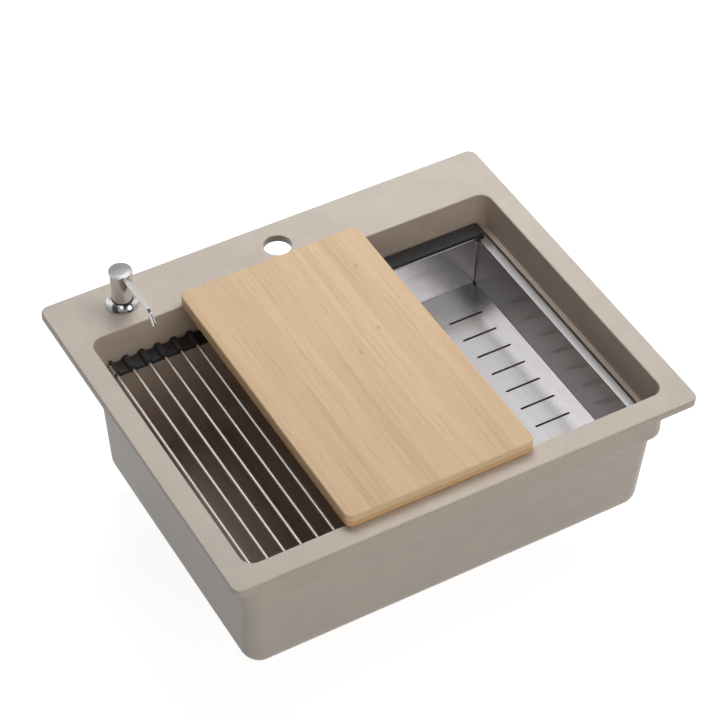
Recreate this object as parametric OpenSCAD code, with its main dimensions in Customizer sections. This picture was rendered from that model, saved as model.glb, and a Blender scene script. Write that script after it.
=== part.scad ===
// Inset workstation sink in a stone composite, with the accessories that stand in it:
// a cutting board on the rim, a roll-up rack and a slotted colander on the ledge inside
// the bowl, a deck soap dispenser, a basket strainer waste and an overflow.
// Frame: Z = 0 is the underside of the rim, where it lies on the worktop. The origin is
// the centre of the rim's plan, +X runs to the right and +Y to the back.

/* [Rim] */
// Width of the rim, left to right
rim_w = 595; // [560:5:760]
// Depth of the rim, front to back
rim_d = 500; // [470:5:560]
// Thickness of the rim
rim_t = 10; // [8:0.5:16]
// Plan radius of the rim's corners
rim_corner_r = 12; // [8:1:20]
// Rounding of the rim's edges
rim_edge_r = 2.5; // [1:0.25:3.5]
// Width of the rim strip on each side of the bowl
side_strip = 28.8; // [24:0.2:50]
// Width of the rim strip in front of the bowl
front_strip = 30; // [26:0.5:50]
// Depth of the deck behind the bowl
back_deck = 78.5; // [76:0.5:95]

/* [Bowl] */
// Depth of the bowl, from the rim's top to its floor
bowl_depth = 194; // [180:1:230]
// Thickness of the bowl's walls
wall = 6.5; // [5:0.25:8]
// Thickness of the bowl's floor
floor_t = 8; // [7:0.5:12]
// Plan radius of the bowl mouth's corners
mouth_corner_r = 15; // [12:1:20]
// How far the walls above the ledge lean in
mouth_lean = 1.3; // [0.5:0.1:3]
// Depth of the ledge that carries the accessories, below the rim's top
ledge_depth = 50; // [44:1:56]
// Width of the ledge
ledge_w = 6; // [4:0.5:9]
// Height of the thick belt below the ledge
belt_h = 20; // [14:1:28]
// Rounding under the belt, outside
belt_r = 5; // [3:0.5:6]
// Plan radius of the bowl's upright inner corners at the ledge
bowl_corner_r = 12; // [10:0.5:16]
// Plan radius of the same corners at the floor
foot_corner_r = 17.5; // [16:0.5:26]
// Radius between the walls and the floor, inside
floor_r = 15.5; // [8:0.5:16]
// How far the side walls lean in below the ledge
side_lean = 4; // [2:0.5:16]
// How far the front wall leans in below the ledge
front_lean = 9; // [2:0.5:20]
// How far the back wall leans in below the ledge
back_lean = 5.5; // [2:0.5:20]
// Fall of the floor towards the waste
floor_fall = 2; // [1:0.5:4]

/* [Deck holes] */
// Radius of the tap hole
tap_hole_r = 17.5; // [16:0.25:18]
// Distance from the tap hole's axis to the back edge
tap_inset = 39.5; // [34:0.5:46]
// Distance from the soap dispenser's axis to the left edge
dispenser_inset = 91; // [82:0.5:150]
// Radius of the soap dispenser's hole
dispenser_hole_r = 17.5; // [17:0.25:18]

/* [Cutting board] */
// Width of the cutting board
board_w = 240; // [180:5:280]
// Thickness of the cutting board
board_t = 16; // [12:1:24]
// How far the board lies on the rim, front and back
board_overlap = 7.3; // [5:0.1:11]
// Place of the board's middle, left of the bowl's middle
board_shift = 28.5; // [0:0.5:60]
// Plan radius of the board's corners
board_corner_r = 10; // [6:1:20]
// Rounding of the board's edges
board_edge_r = 2; // [1:0.25:3]

/* [Rack] */
// Number of rods
rod_count = 11; // [8:1:11]
// Distance between two rods
rod_pitch = 20.9; // [16:0.1:21]
// Radius of a rod
rod_r = 2; // [1.5:0.1:2.5]
// Height of the rods' axes above the ledge
rod_h = 4.2; // [3.4:0.1:4.4]
// Radius of the sleeve round a rod
sleeve_r = 5; // [4.4:0.1:5.4]
// Depth of the rubber strips, front to back
strip_d = 20; // [16:0.5:26]
// Thickness of the rubber strips
strip_t = 4; // [2.5:0.25:4]
// How far a sleeve stands out behind its strip
sleeve_end = 1; // [0.5:0.25:2]
// Length of the collar round a rod in front of its strip
nose_l = 2.5; // [1.5:0.25:4]
// Radius of that collar
nose_r = 3.2; // [2.8:0.1:3.5]
// Gap between the rack and the left wall
rack_gap = 16.2; // [6:0.2:20]
// Gap at a fold line
fold_gap = 0.3; // [0.2:0.05:0.4]

/* [Colander] */
// Width of the colander
colander_w = 200; // [170:5:230]
// Gap between the colander and the right wall
colander_gap = 10.4; // [4:0.2:14]
// Depth of the tray below the ledge
tray_depth = 65; // [40:1:90]
// Sheet thickness of the tray
sheet_t = 1.2; // [0.8:0.1:1.5]
// How far the tray's walls lean in
tray_lean = 6; // [2:0.5:10]
// Width of the tray's side flanges
flange_w = 10; // [8:0.5:14]
// Depth of the rails, front to back
rail_d = 20; // [16:0.5:24]
// Height of the rails
rail_h = 7; // [5:0.25:8]
// Rounding of the rails' edges
rail_r = 1.5; // [0.5:0.25:2]
// Width of a slot
slot_w = 3; // [2:0.25:5]
// Length of a slot
slot_l = 48; // [30:1:52]
// Distance between two rows of slots
slot_pitch = 33.1; // [24:0.1:34]
// Number of rows
slot_rows = 8; // [4:1:8]
// Distance from a slot's end to the side wall
slot_margin = 19.5; // [14:0.5:26]
// Width of the open slit in each corner of the tray
slit_w = 4; // [2:0.5:6]

/* [Dispenser] */
// Radius of the dispenser's base
base_r = 20; // [19:0.5:24]
// Height of the base above the rim
base_h = 8.2; // [7:0.2:10]
// Height of the head's top above the rim
head_top_h = 52.5; // [48:0.5:60]
// Radius of the head at its top
head_top_r = 14.5; // [13.5:0.25:15.5]
// Radius of the head at its bottom
head_bottom_r = 12; // [11.5:0.25:12.5]
// Radius of the spout tube
spout_r = 2.8; // [2.4:0.1:3.2]
// Distance from the head's axis to the spout's bend
spout_reach = 72; // [50:1:85]
// How far the spout's tip drops
spout_drop = 15; // [9:0.5:17]
// Stroke of the pump
stroke = 12; // [8:0.5:13]
// Radius of the soap bottle
bottle_r = 28; // [24:0.5:29]
// Height of the soap bottle below its neck
bottle_h = 130; // [100:5:150]

/* [Waste] */
// Radius of the waste hole in the bowl's floor
waste_hole_r = 45; // [44:0.5:46]
// Radius of the strainer's flange
waste_flange_r = 57; // [54:0.5:60]
// Sheet thickness of the strainer's cup
cup_t = 1.5; // [1:0.1:1.8]
// Depth of the cup below the floor
cup_depth = 40; // [36:1:46]
// Radius of the outlet's thread
outlet_r = 23.9; // [20:0.1:24]
// Length of the outlet's thread
outlet_l = 25; // [18:1:32]
// Radius of the hose spigots
spigot_r = 10; // [8:0.5:10.5]
// Radius of the bore in the hose spigots
spigot_bore_r = 8; // [6.5:0.25:8.5]

/* [Overflow] */
// Radius of the overflow hole
overflow_hole_r = 11; // [9:0.5:11.5]
// Radius of the overflow's cover
cover_r = 15; // [13.5:0.5:17]
// Depth of the overflow's middle below the rim's top
overflow_depth = 30; // [28:0.5:32]

/* [Hidden] */
$fn = 64;

// Number of rods that roll up at the left end, one node for each
roll_count = 4;

// Overrun of every cut
over = 1;
// Thickness of the plates that a loft is drawn between
loft_t = 0.1;
// Share of an upper rounding that the same part has underneath
under_share = 0.25;
// Play between a sliding accessory and the wall beside it
play = 0.8;
// Clearance of parts that sit in one another without moving
seat_gap = 0.3;
// Radial clearance of parts that slide or turn in one another
run_gap = 0.05;

// Colours
stone_colour = [0.76, 0.72, 0.67];
steel_colour = [0.75, 0.75, 0.76];
chrome_colour = [0.86, 0.86, 0.87];
wood_colour = [0.84, 0.72, 0.58];
rubber_colour = [0.09, 0.09, 0.10];
rail_colour = [0.20, 0.21, 0.21];
plastic_colour = [0.13, 0.13, 0.14];
clear_colour = [0.88, 0.90, 0.91];

// Mouth of the bowl at the rim's top
mouth_x = rim_w / 2 - side_strip;
mouth_y0 = front_strip - rim_d / 2;
mouth_y1 = rim_d / 2 - back_deck;
mouth_d = mouth_y1 - mouth_y0;
mid_y = (mouth_y0 + mouth_y1) / 2;

// Mouth at the ledge, and the bowl's edge below it
ledge_z = rim_t - ledge_depth;
ledge_x = mouth_x - mouth_lean;
ledge_y0 = mouth_y0 + mouth_lean;
ledge_y1 = mouth_y1 - mouth_lean;
bowl_x = ledge_x - ledge_w;
bowl_y0 = ledge_y0 + ledge_w;
bowl_y1 = ledge_y1 - ledge_w;
floor_z = rim_t - bowl_depth;
belt_z = ledge_z - belt_h;
mouth_edge_share = 0.8;

// Deck
deck_y = rim_d / 2 - tap_inset;
dispenser_x = dispenser_inset - rim_w / 2;

// Rack
rod_x0 = rack_gap + rod_h - ledge_x;
rod_z = ledge_z + rod_h;
strip_y1 = ledge_y1 - play - sleeve_end;
strip_y0 = ledge_y0 + play + sleeve_end;
rod_inset = 3;
rack_x1 = rod_x0 + (rod_count - 1) * rod_pitch;

// Colander
colander_x1 = ledge_x - colander_gap;
colander_x0 = colander_x1 - colander_w;
rail_y1 = ledge_y1 - 2 * play;
rail_y0 = ledge_y0 + 2 * play;
rail_lip = 6;
tray_y1 = rail_y1 - rail_d;
tray_y0 = rail_y0 + rail_d;
tray_x1 = colander_x1 - flange_w;
tray_x0 = colander_x0 + flange_w;
tray_z0 = ledge_z - tray_depth;
flange_z1 = ledge_z + sheet_t;
rail_corner_r = 4;

// Dispenser
base_lip = 1.5;
base_margin = 2.9;
base_top_r = head_bottom_r + base_margin;
head_play = 1.5;
collar_bore_r = head_bottom_r + head_play;
shank_play = 1.8;
shank_r = dispenser_hole_r - shank_play;
shank_l = 45;
shoulder_gap = 4.2;
shoulder_z = rim_t + base_h - stroke - shoulder_gap;
shoulder_w = 2.5;
housing_r = 8;
housing_bore_r = 6.8;
housing_flange_t = 2.2;
housing_l = 48;
guide_t = 1.2;
guide_l = 4;
guide_play = 1;
stem_r = 4.2;
stem_bore_r = 2;
piston_l = 8;
head_gap = 0.3;
head_z0 = rim_t + base_h + head_gap;
head_z1 = rim_t + head_top_h;
head_wall = 1.6;
head_edge_r = 1.2;
head_foot_r = 3;
boss_r = 6.6;
boss_l = 22;
cavity_gap = 2;
cavity_z1 = head_z1 - head_wall - cavity_gap;
socket_floor = 6;
socket_z1 = cavity_z1 - socket_floor;
spout_cover = 3;
spout_z = head_z1 - spout_r - spout_cover;
spout_wall = 0.7;
spout_turn = 8;
spout_yaw = 1.8;
spout_foot = 4;
dip_share = 0.8;
guide_z0 = shoulder_z + housing_flange_t - guide_l - guide_t;
piston_z1 = guide_z0 - seat_gap;
piston_z0 = piston_z1 - piston_l;
housing_z0 = shoulder_z - housing_l;
housing_floor = 2.5;
spring_z0 = housing_z0 + housing_floor;
spring_z1 = piston_z0;
wire_r = 0.45;
spring_play = 0.6;
spring_r = housing_bore_r - wire_r - spring_play;
spring_turns = 7;
ball_r = 2.4;
inlet_r = 1.6;
nipple_r = 4.6;
nipple_l = 12;
tube_r = 3;
tube_bore_r = 2;
tube_gap = 3;
washer_t = 2;
washer_lap = 5;
washer_r = dispenser_hole_r + washer_lap;
spot_play = 1.5;
spot_depth = 0.5;
washer_z0 = spot_depth - washer_t;
nut_t = 10;
nut_r = 22;
neck_gap = 2;
neck_l = 24;
neck_t = 2.2;
bottle_t = 1.6;
bottle_shoulder = 12;
bottle_foot_r = 6;
nut_z0 = washer_z0 - nut_t;
bottle_z1 = nut_z0 - neck_gap;
bottle_z0 = bottle_z1 - neck_l - bottle_shoulder - bottle_h;

// Waste
seat_depth = 3;
seat_play = 1;
seat_z = floor_z - seat_depth;
gasket_t = 1;
body_gasket_t = 3;
cup_play = 0.5;
cup_r = waste_hole_r - cup_play;
shelf_w = 3.5;
shelf_depth = 5;
shelf_z = floor_z - shelf_depth;
cup_in_r = cup_r - cup_t - shelf_w;
cup_z0 = floor_z - cup_depth;
flange_top_z = seat_z + gasket_t + cup_t;
well_r = 8;
well_depth = 5;
drain_count = 8;
drain_r = 5;
drain_ring_r = 22;
basket_wall = 1;
basket_play = 0.6;
basket_rim_r = cup_r - cup_t - basket_play;
basket_gap = 3;
basket_r = cup_in_r - basket_gap;
basket_lean = 5;
basket_foot_r = basket_r - basket_lean;
basket_h = 24;
seal_t = 3;
seal_lap = 2;
seal_r = drain_ring_r + drain_r + seal_lap;
stem_rod_r = 3;
stem_collar_r = 6;
stem_collar_h = 3;
knob_r = 9;
knob_h = 7;
knob_gap = 3;
knob_waist_r = 2;
knob_waist_share = 0.4;
basket_z0 = shelf_z + basket_wall - basket_h;
seal_z0 = cup_z0 + seat_gap;
body_in_r = waste_hole_r;
body_t = 3;
body_flange_t = 4;
body_lap = 1;
body_flange_r = waste_flange_r + body_lap;
body_z1 = floor_z - floor_t - body_gasket_t;
body_gap = 9;
body_z0 = cup_z0 - cup_t - body_gap;
funnel_h = 10;
outlet_wall = 3.9;
outlet_bore_r = outlet_r - outlet_wall;
outlet_z0 = body_z0 - funnel_h - outlet_l;
post_r = 7;
arm_t = 3;
screw_r = 3;
screw_head_r = 6.5;
screw_head_t = 3.5;
screw_slot = 1.2;
screw_taper_share = 0.85;
spigot_l = 20;
stop_t = 3;
stop_r = spigot_r + stop_t;
inlet_gap = 7;
inlet_z = body_z1 - body_flange_t - spigot_r - inlet_gap;
gasket_inset = 1;

// Overflow
overflow_z = rim_t - overflow_depth;
lean_share = overflow_depth / ledge_depth;
overflow_y = mouth_y1 - mouth_lean * lean_share;
belt_y1 = mouth_y1 + wall;
cover_t = 2.4;
cover_slot_h = 2.6;
cover_tube_r = overflow_hole_r - seat_gap;
cover_tube_t = 1.2;
cover_screw_r = 2;
cover_head_r = 3.8;
cover_head_t = 1.2;
cover_boss_r = 4.6;
cover_slot_share = 0.8;
elbow_gasket_t = 2;
elbow_lap = 6;
elbow_flange_r = overflow_hole_r + elbow_lap;
elbow_flange_t = 3;
elbow_t = 2;
elbow_r = overflow_hole_r + elbow_t;
elbow_l = 30;
elbow_drop = 36;
elbow_post_r = 4;

// Rounded rectangle between x0 and x1, y0 and y1
module plan(x0, x1, y0, y1, r) {
    translate([x0, y0 + r]) square([x1 - x0, y1 - y0 - 2 * r]);
    translate([x0 + r, y0]) square([x1 - x0 - 2 * r, y1 - y0]);
    for (x = [x0 + r, x1 - r])
        for (y = [y0 + r, y1 - r])
            translate([x, y]) circle(r);
}

// Sweeps a profile round a rounded rectangle. The profile's x is its distance outwards
// from the corner arcs' centres.
module around(x0, x1, y0, y1, r) {
    runs = [y1 - y0 - 2 * r, x1 - x0 - 2 * r];
    for (k = [0:3])
        translate([k == 0 || k == 3 ? x1 - r : x0 + r, k < 2 ? y1 - r : y0 + r, 0])
            rotate([0, 0, 90 * k]) {
                rotate_extrude(angle = 90) children();
                rotate([90, 0, 0]) linear_extrude(runs[k % 2]) children();
            }
}

// Section of the material that a rounding of radius e takes off an outer edge at (r, z);
// side is 1 for a top edge and -1 for a bottom edge
module outer_edge(r, z, e, side = 1) {
    difference() {
        translate([r - e, side > 0 ? z - e : z - over]) square([e + over, e + over]);
        translate([r - e, z - side * e]) circle(e);
    }
}

// The same for the top edge of an opening
module inner_edge(r, z, e) {
    difference() {
        translate([r - over, z - e]) square([e + over, e + over]);
        translate([r + e, z - e]) circle(e);
    }
}

// Solid plate with rounded corners and rounded top and bottom edges
module rounded_plate(x0, x1, y0, y1, z0, z1, r, top_e, bottom_e) {
    difference() {
        translate([0, 0, z0]) linear_extrude(z1 - z0) plan(x0, x1, y0, y1, r);
        around(x0, x1, y0, y1, r) outer_edge(r, z1, top_e);
        around(x0, x1, y0, y1, r) outer_edge(r, z0, bottom_e, -1);
    }
}

// Ring between two radii
module ring(r1, r0, h) {
    difference() {
        cylinder(h = h, r = r1);
        translate([0, 0, -over]) cylinder(h = h + 2 * over, r = r0);
    }
}

// Space inside the bowl above the ledge, with walls that lean in a little
module mouth_space() {
    r = mouth_corner_r;
    z1 = rim_t + over;
    translate([r - mouth_x, mouth_y0 + r, ledge_z])
        cube([2 * (mouth_x - r), mouth_d - 2 * r, z1 - ledge_z]);
    around(-mouth_x, mouth_x, mouth_y0, mouth_y1, r)
        polygon([[0, ledge_z], [r - mouth_lean, ledge_z], [r, rim_t], [r, z1], [0, z1]]);
}

// Loft of the bowl below the ledge up to z1, grown outwards by t and down by b. Its floor
// falls from the walls to a flat round the waste.
module bowl_loft(t, b, z1) {
    cr = bowl_corner_r + t;
    foot_r = foot_corner_r + t;
    edge_r = min(floor_r + b, foot_r);
    x = bowl_x + t;
    y0 = bowl_y0 - t;
    y1 = bowl_y1 + t;
    foot_x = x - side_lean - foot_r;
    foot_z = floor_z + floor_fall - b + edge_r;
    hull() {
        for (px = [cr - x, x - cr])
            for (py = [y0 + cr, y1 - cr])
                translate([px, py, ledge_z - over]) cylinder(h = z1 - ledge_z + over, r = cr, $fn = 48);
        for (px = [-foot_x, foot_x])
            for (py = [y0 + front_lean + foot_r, y1 - back_lean - foot_r])
                translate([px, py, foot_z]) rotate_extrude($fn = 48) intersection() {
                    translate([foot_r - edge_r, 0]) circle(edge_r, $fn = 48);
                    translate([0, -edge_r]) square([foot_r, 2 * edge_r]);
                }
        translate([0, mid_y, floor_z - b])
            cylinder(h = floor_fall, r = waste_flange_r + 2 * seat_play, $fn = 48);
    }
}

module sink_basin() {
    color(stone_colour) difference() {
        union() {
            rounded_plate(-rim_w / 2, rim_w / 2, -rim_d / 2, rim_d / 2, 0, rim_t,
                          rim_corner_r, rim_edge_r, rim_edge_r * under_share);
            rounded_plate(-mouth_x - wall, mouth_x + wall, mouth_y0 - wall, mouth_y1 + wall,
                          belt_z, rim_t / 2, mouth_corner_r + wall, rim_edge_r * under_share, belt_r);
            bowl_loft(wall, floor_t, ledge_z);
        }
        mouth_space();
        around(-mouth_x, mouth_x, mouth_y0, mouth_y1, mouth_corner_r)
            inner_edge(mouth_corner_r, rim_t, rim_edge_r * mouth_edge_share);
        bowl_loft(0, 0, ledge_z + over);
        translate([0, deck_y, -over]) cylinder(h = rim_t + 2 * over, r = tap_hole_r);
        translate([dispenser_x, deck_y, -over]) cylinder(h = rim_t + 2 * over, r = dispenser_hole_r);
        // Spot face for the dispenser's washer
        translate([dispenser_x, deck_y, -over]) cylinder(h = over + spot_depth, r = washer_r + spot_play);
        translate([0, mid_y, seat_z])
            cylinder(h = seat_depth + over, r = waste_flange_r + seat_play);
        translate([0, mid_y, floor_z - floor_t - over])
            cylinder(h = floor_t + 2 * over, r = waste_hole_r);
        translate([0, belt_y1 + over, overflow_z]) rotate([90, 0, 0])
            cylinder(h = wall + mouth_lean + 2 * over, r = overflow_hole_r);
    }
}

module cutting_board() {
    x = -board_shift;
    l = mouth_d / 2 + board_overlap;
    color(wood_colour)
        rounded_plate(x - board_w / 2, x + board_w / 2, mid_y - l, mid_y + l, rim_t, rim_t + board_t,
                      board_corner_r, board_edge_r, board_edge_r / 2);
}

// One rod of the rack, counted from the left
module rod(i) {
    y1 = strip_y1 - rod_inset;
    y0 = strip_y0 + rod_inset;
    color(steel_colour) translate([rod_x0 + i * rod_pitch, y1, rod_z]) rotate([90, 0, 0])
        cylinder(h = y1 - y0, r = rod_r);
}

// Rubber strip over the back ends of rods a to b, from x0 to x1. The sleeve over each rod is
// a raised rib across the strip, flat underneath, with a collar where the rod comes out.
module back_strip(a, b, x0, x1) {
    y0 = strip_y1 - strip_d;
    difference() {
        union() {
            translate([x0, y0, ledge_z]) cube([x1 - x0, strip_d, strip_t]);
            for (i = [a : b]) translate([rod_x0 + i * rod_pitch, strip_y1, rod_z]) rotate([90, 0, 0]) {
                translate([0, 0, -sleeve_end]) cylinder(h = strip_d + sleeve_end, r = sleeve_r);
                translate([0, 0, strip_d]) cylinder(h = nose_l, r = nose_r);
            }
        }
        for (i = [a : b]) translate([rod_x0 + i * rod_pitch, strip_y1 - rod_inset, rod_z]) rotate([90, 0, 0])
            cylinder(h = strip_d + nose_l + over, r = rod_r);
        translate([x0 - sleeve_r, y0 - over, ledge_z - sleeve_r])
            cube([x1 - x0 + 2 * sleeve_r, strip_d + sleeve_end + 2 * over, sleeve_r]);
    }
}

// The same strip mirrored to the front end of the rack
module front_strip(a, b, x0, x1) {
    translate([0, strip_y0 + strip_y1, 0]) mirror([0, 1, 0]) back_strip(a, b, x0, x1);
}

function link_left(i) = rod_x0 + (i == 0 ? 0 : (i - 0.5) * rod_pitch + fold_gap / 2);
function link_right(i) = rod_x0 + (i + 0.5) * rod_pitch - fold_gap / 2;

module roll_rod(n) {
    rod(n - 1);
}
module rack_rods() {
    for (i = [roll_count : rod_count - 1]) rod(i);
}
module rack_strip_back() {
    color(rubber_colour) back_strip(roll_count, rod_count - 1, link_left(roll_count), rack_x1);
}
module rack_strip_front() {
    color(rubber_colour) front_strip(roll_count, rod_count - 1, link_left(roll_count), rack_x1);
}
module roll_link_back(n) {
    color(rubber_colour) back_strip(n - 1, n - 1, link_left(n - 1), link_right(n - 1));
}
module roll_link_front(n) {
    color(rubber_colour) front_strip(n - 1, n - 1, link_left(n - 1), link_right(n - 1));
}

// Block that tapers from the tray's top to its floor, grown outwards by t
module tray_loft(t, z0, z1) {
    foot = tray_lean - t;
    hull() {
        translate([tray_x0 - t, tray_y0 - t, z1 - loft_t])
            cube([tray_x1 - tray_x0 + 2 * t, tray_y1 - tray_y0 + 2 * t, loft_t]);
        translate([tray_x0 + foot, tray_y0 + foot, z0])
            cube([tray_x1 - tray_x0 - 2 * foot, tray_y1 - tray_y0 - 2 * foot, loft_t]);
    }
}

// Outline of a slot with round ends, centred
module slot_outline() {
    run = slot_l - slot_w;
    square([run, slot_w], center = true);
    for (x = [-run / 2, run / 2]) translate([x, 0]) circle(slot_w / 2, $fn = 32);
}

module colander_tray() {
    first = mid_y - (slot_rows - 1) / 2 * slot_pitch;
    column = [tray_x0 + tray_lean + slot_margin + slot_l / 2, tray_x1 - tray_lean - slot_margin - slot_l / 2];
    color(steel_colour) difference() {
        union() {
            tray_loft(sheet_t, tray_z0 - sheet_t, ledge_z);
            translate([colander_x0, tray_y0 - sheet_t, ledge_z])
                cube([colander_w, tray_y1 - tray_y0 + 2 * sheet_t, sheet_t]);
            translate([tray_x0 + slit_w, tray_y0 - rail_d + rail_lip + seat_gap, ledge_z])
                cube([tray_x1 - tray_x0 - 2 * slit_w,
                      tray_y1 - tray_y0 + 2 * (rail_d - rail_lip - seat_gap), sheet_t]);
        }
        tray_loft(0, tray_z0, flange_z1 + loft_t);
        for (x = column)
            for (i = [0 : slot_rows - 1])
                translate([x, first + i * slot_pitch, tray_z0 - sheet_t - over])
                    linear_extrude(sheet_t + 2 * over) slot_outline();
        // Open slits where the folded walls meet
        for (x = [tray_x0, tray_x1 - slit_w])
            for (y = [tray_y0 - sheet_t - over, tray_y1 - tray_lean - sheet_t])
                translate([x, y, tray_z0 + slit_w])
                    cube([slit_w, tray_lean + 2 * sheet_t + over, ledge_z - tray_z0 - slit_w]);
    }
}

// Rail along the back of the tray. The tray's top edge lies in a recess below it, and its
// rear lip stands on the ledge.
module back_rail() {
    difference() {
        rounded_plate(colander_x0, colander_x1, tray_y1, rail_y1, ledge_z, ledge_z + rail_h,
                      rail_corner_r, rail_r, rail_r * under_share);
        translate([colander_x0 - over, tray_y1 - over, ledge_z - over])
            cube([colander_w + 2 * over, rail_d - rail_lip + over, sheet_t + over]);
    }
}
module colander_rail_back() {
    color(rail_colour) back_rail();
}
module colander_rail_front() {
    color(rail_colour) translate([0, tray_y0 + tray_y1, 0]) mirror([0, 1, 0]) back_rail();
}

// Carries its children to the dispenser's axis
module at_dispenser() {
    translate([dispenser_x, deck_y, 0]) children();
}

// Chromed base with its threaded shank, bored for the head and stepped for the pump
module dispenser_collar() {
    flare_r = base_h - base_lip;
    pocket_z = rim_t + base_h;
    color(chrome_colour) at_dispenser() rotate_extrude() difference() {
        union() {
            difference() {
                translate([0, rim_t]) square([base_r, base_h]);
                translate([base_top_r + flare_r, pocket_z + base_lip / 2]) circle(flare_r + base_lip / 2);
                translate([base_top_r + flare_r, rim_t + base_lip]) square([base_r, base_h]);
            }
            translate([0, rim_t - shank_l]) square([shank_r, shank_l + over]);
        }
        translate([-over, shoulder_z]) square([collar_bore_r + over, base_h + rim_t + over - shoulder_z]);
        translate([-over, rim_t - shank_l - over])
            square([collar_bore_r - shoulder_w + over, shank_l + over]);
    }
}

module dispenser_washer() {
    color(rubber_colour) at_dispenser() translate([0, 0, washer_z0])
        ring(washer_r, shank_r + seat_gap, washer_t);
}

// Round nut with grips
module dispenser_nut() {
    grips = 8;
    grip_r = 3;
    color(plastic_colour) at_dispenser() translate([0, 0, nut_z0]) difference() {
        cylinder(h = nut_t, r = nut_r);
        translate([0, 0, -over]) cylinder(h = nut_t + 2 * over, r = shank_r + run_gap);
        for (k = [0 : grips - 1])
            rotate([0, 0, k * 360 / grips]) translate([nut_r + grip_r / 2, 0, -over])
                cylinder(h = nut_t + 2 * over, r = grip_r);
    }
}

// Radius of the head at height z
function head_r(z) = head_bottom_r + (head_top_r - head_bottom_r) * (z - head_z0) / (head_z1 - head_z0);

// Tapered head with rounded rims, hollow, with a boss inside for the pump's stem
module dispenser_head() {
    edge_z = head_z1 - head_edge_r;
    foot_z = head_z0 + head_foot_r;
    color(chrome_colour) at_dispenser() difference() {
        rotate_extrude() difference() {
            union() {
                polygon([[0, head_z0], [head_r(head_z0) - head_foot_r, head_z0], [head_r(foot_z), foot_z],
                         [head_r(edge_z), edge_z], [head_r(edge_z) - head_edge_r, head_z1], [0, head_z1]]);
                intersection() {
                    translate([0, head_z0]) square([head_bottom_r, head_foot_r]);
                    translate([head_r(foot_z) - head_foot_r, foot_z]) circle(head_foot_r);
                }
                translate([head_r(edge_z) - head_edge_r, edge_z]) circle(head_edge_r);
            }
            // Cavity round the boss
            polygon([[boss_r, head_z0 - over], [head_bottom_r - 2 * head_wall, head_z0 - over],
                     [head_bottom_r - head_wall, foot_z],
                     [head_r(cavity_z1) - head_wall, cavity_z1], [boss_r, cavity_z1]]);
            // The boss ends above the guide, also when the head is pressed
            translate([-over, head_z0 - over])
                square([boss_r + 2 * over, cavity_z1 - boss_l - head_z0 + over]);
            translate([-over, head_z0]) square([stem_r + run_gap + over, socket_z1 - head_z0]);
            translate([-over, head_z0]) square([stem_bore_r + over, spout_z - head_z0]);
        }
        rotate([0, 0, spout_yaw]) translate([0, 0, spout_z]) rotate([90, 0, 0])
            cylinder(h = head_top_r + over, r = spout_r);
    }
}

// Bent tube: a straight run, a bend and a short run down to the tip, drawn from the bend's
// centre outwards
module spout_run(r, extra) {
    tilt = asin(dip_share);
    tail = (spout_drop - spout_turn * (1 - cos(tilt))) / sin(tilt);
    bend_y = spout_reach - spout_turn * tan(tilt / 2);
    translate([0, -bend_y, -spout_turn]) {
        translate([0, 0, spout_turn]) rotate([-90, 0, 0]) cylinder(h = bend_y - spout_foot + extra, r = r);
        difference() {
            rotate([0, -90, 180]) rotate_extrude(angle = 90) translate([spout_turn, 0]) circle(r);
            rotate([tilt, 0, 0]) translate([-2 * r, -2 * spout_turn, 0])
                cube([4 * r, 2 * spout_turn, 2 * spout_turn]);
        }
        rotate([tilt, 0, 0]) translate([0, 0, spout_turn]) rotate([90, 0, 0])
            cylinder(h = tail + extra, r = r);
    }
}

module dispenser_spout() {
    color(chrome_colour) at_dispenser() rotate([0, 0, spout_yaw]) translate([0, 0, spout_z])
        difference() {
            spout_run(spout_r, 0);
            spout_run(spout_r - spout_wall, over);
        }
}

// Pump cylinder that hangs from the shoulder in the collar
module pump_housing() {
    color(plastic_colour) at_dispenser() rotate_extrude() difference() {
        union() {
            translate([0, housing_z0]) square([housing_r, housing_l + over]);
            translate([0, shoulder_z]) square([collar_bore_r - seat_gap, housing_flange_t]);
            translate([0, housing_z0 - nipple_l]) square([nipple_r, nipple_l + over]);
        }
        translate([-over, spring_z0]) square([housing_bore_r + over, housing_l + housing_flange_t + over]);
        translate([-over, housing_z0 - over]) square([inlet_r + over, housing_floor + 2 * over]);
        translate([-over, housing_z0 - nipple_l - over]) square([tube_r + run_gap + over, nipple_l + over]);
    }
}

// Guide that closes the housing and holds the stem upright
module pump_guide() {
    top = shoulder_z + housing_flange_t;
    color(plastic_colour) at_dispenser() rotate_extrude() difference() {
        union() {
            translate([0, top]) square([collar_bore_r - guide_play, guide_t]);
            translate([0, guide_z0]) square([housing_bore_r - run_gap, top - guide_z0 + guide_t / 2]);
        }
        translate([-over, guide_z0 - over])
            square([stem_r + run_gap + over, top + guide_t - guide_z0 + 2 * over]);
    }
}

// Hollow stem with its piston
module pump_stem() {
    top = socket_z1 - seat_gap;
    color(plastic_colour) at_dispenser() rotate_extrude() difference() {
        union() {
            translate([0, piston_z0]) square([stem_r, top - piston_z0]);
            translate([0, piston_z0]) square([housing_bore_r - run_gap, piston_l]);
        }
        translate([-over, piston_z0 - over]) square([stem_bore_r + over, top - piston_z0 + 2 * over]);
    }
}

// Point on the spring's centre line, for a share from 0 at the bottom to 1 at the top
function coil_point(share) =
    let (
        a = 360 * spring_turns * share,
        z = spring_z0 + wire_r + (spring_z1 - spring_z0 - 2 * wire_r) * share
    )
    [spring_r * cos(a), spring_r * sin(a), z];

coil_sides = 6;
coil_rings = 8;
coil_steps = spring_turns * coil_rings;
coil_rise = (spring_z1 - spring_z0 - 2 * wire_r) / spring_turns;
echo(spring_least_gap = coil_rise - 2 * wire_r);

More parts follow.
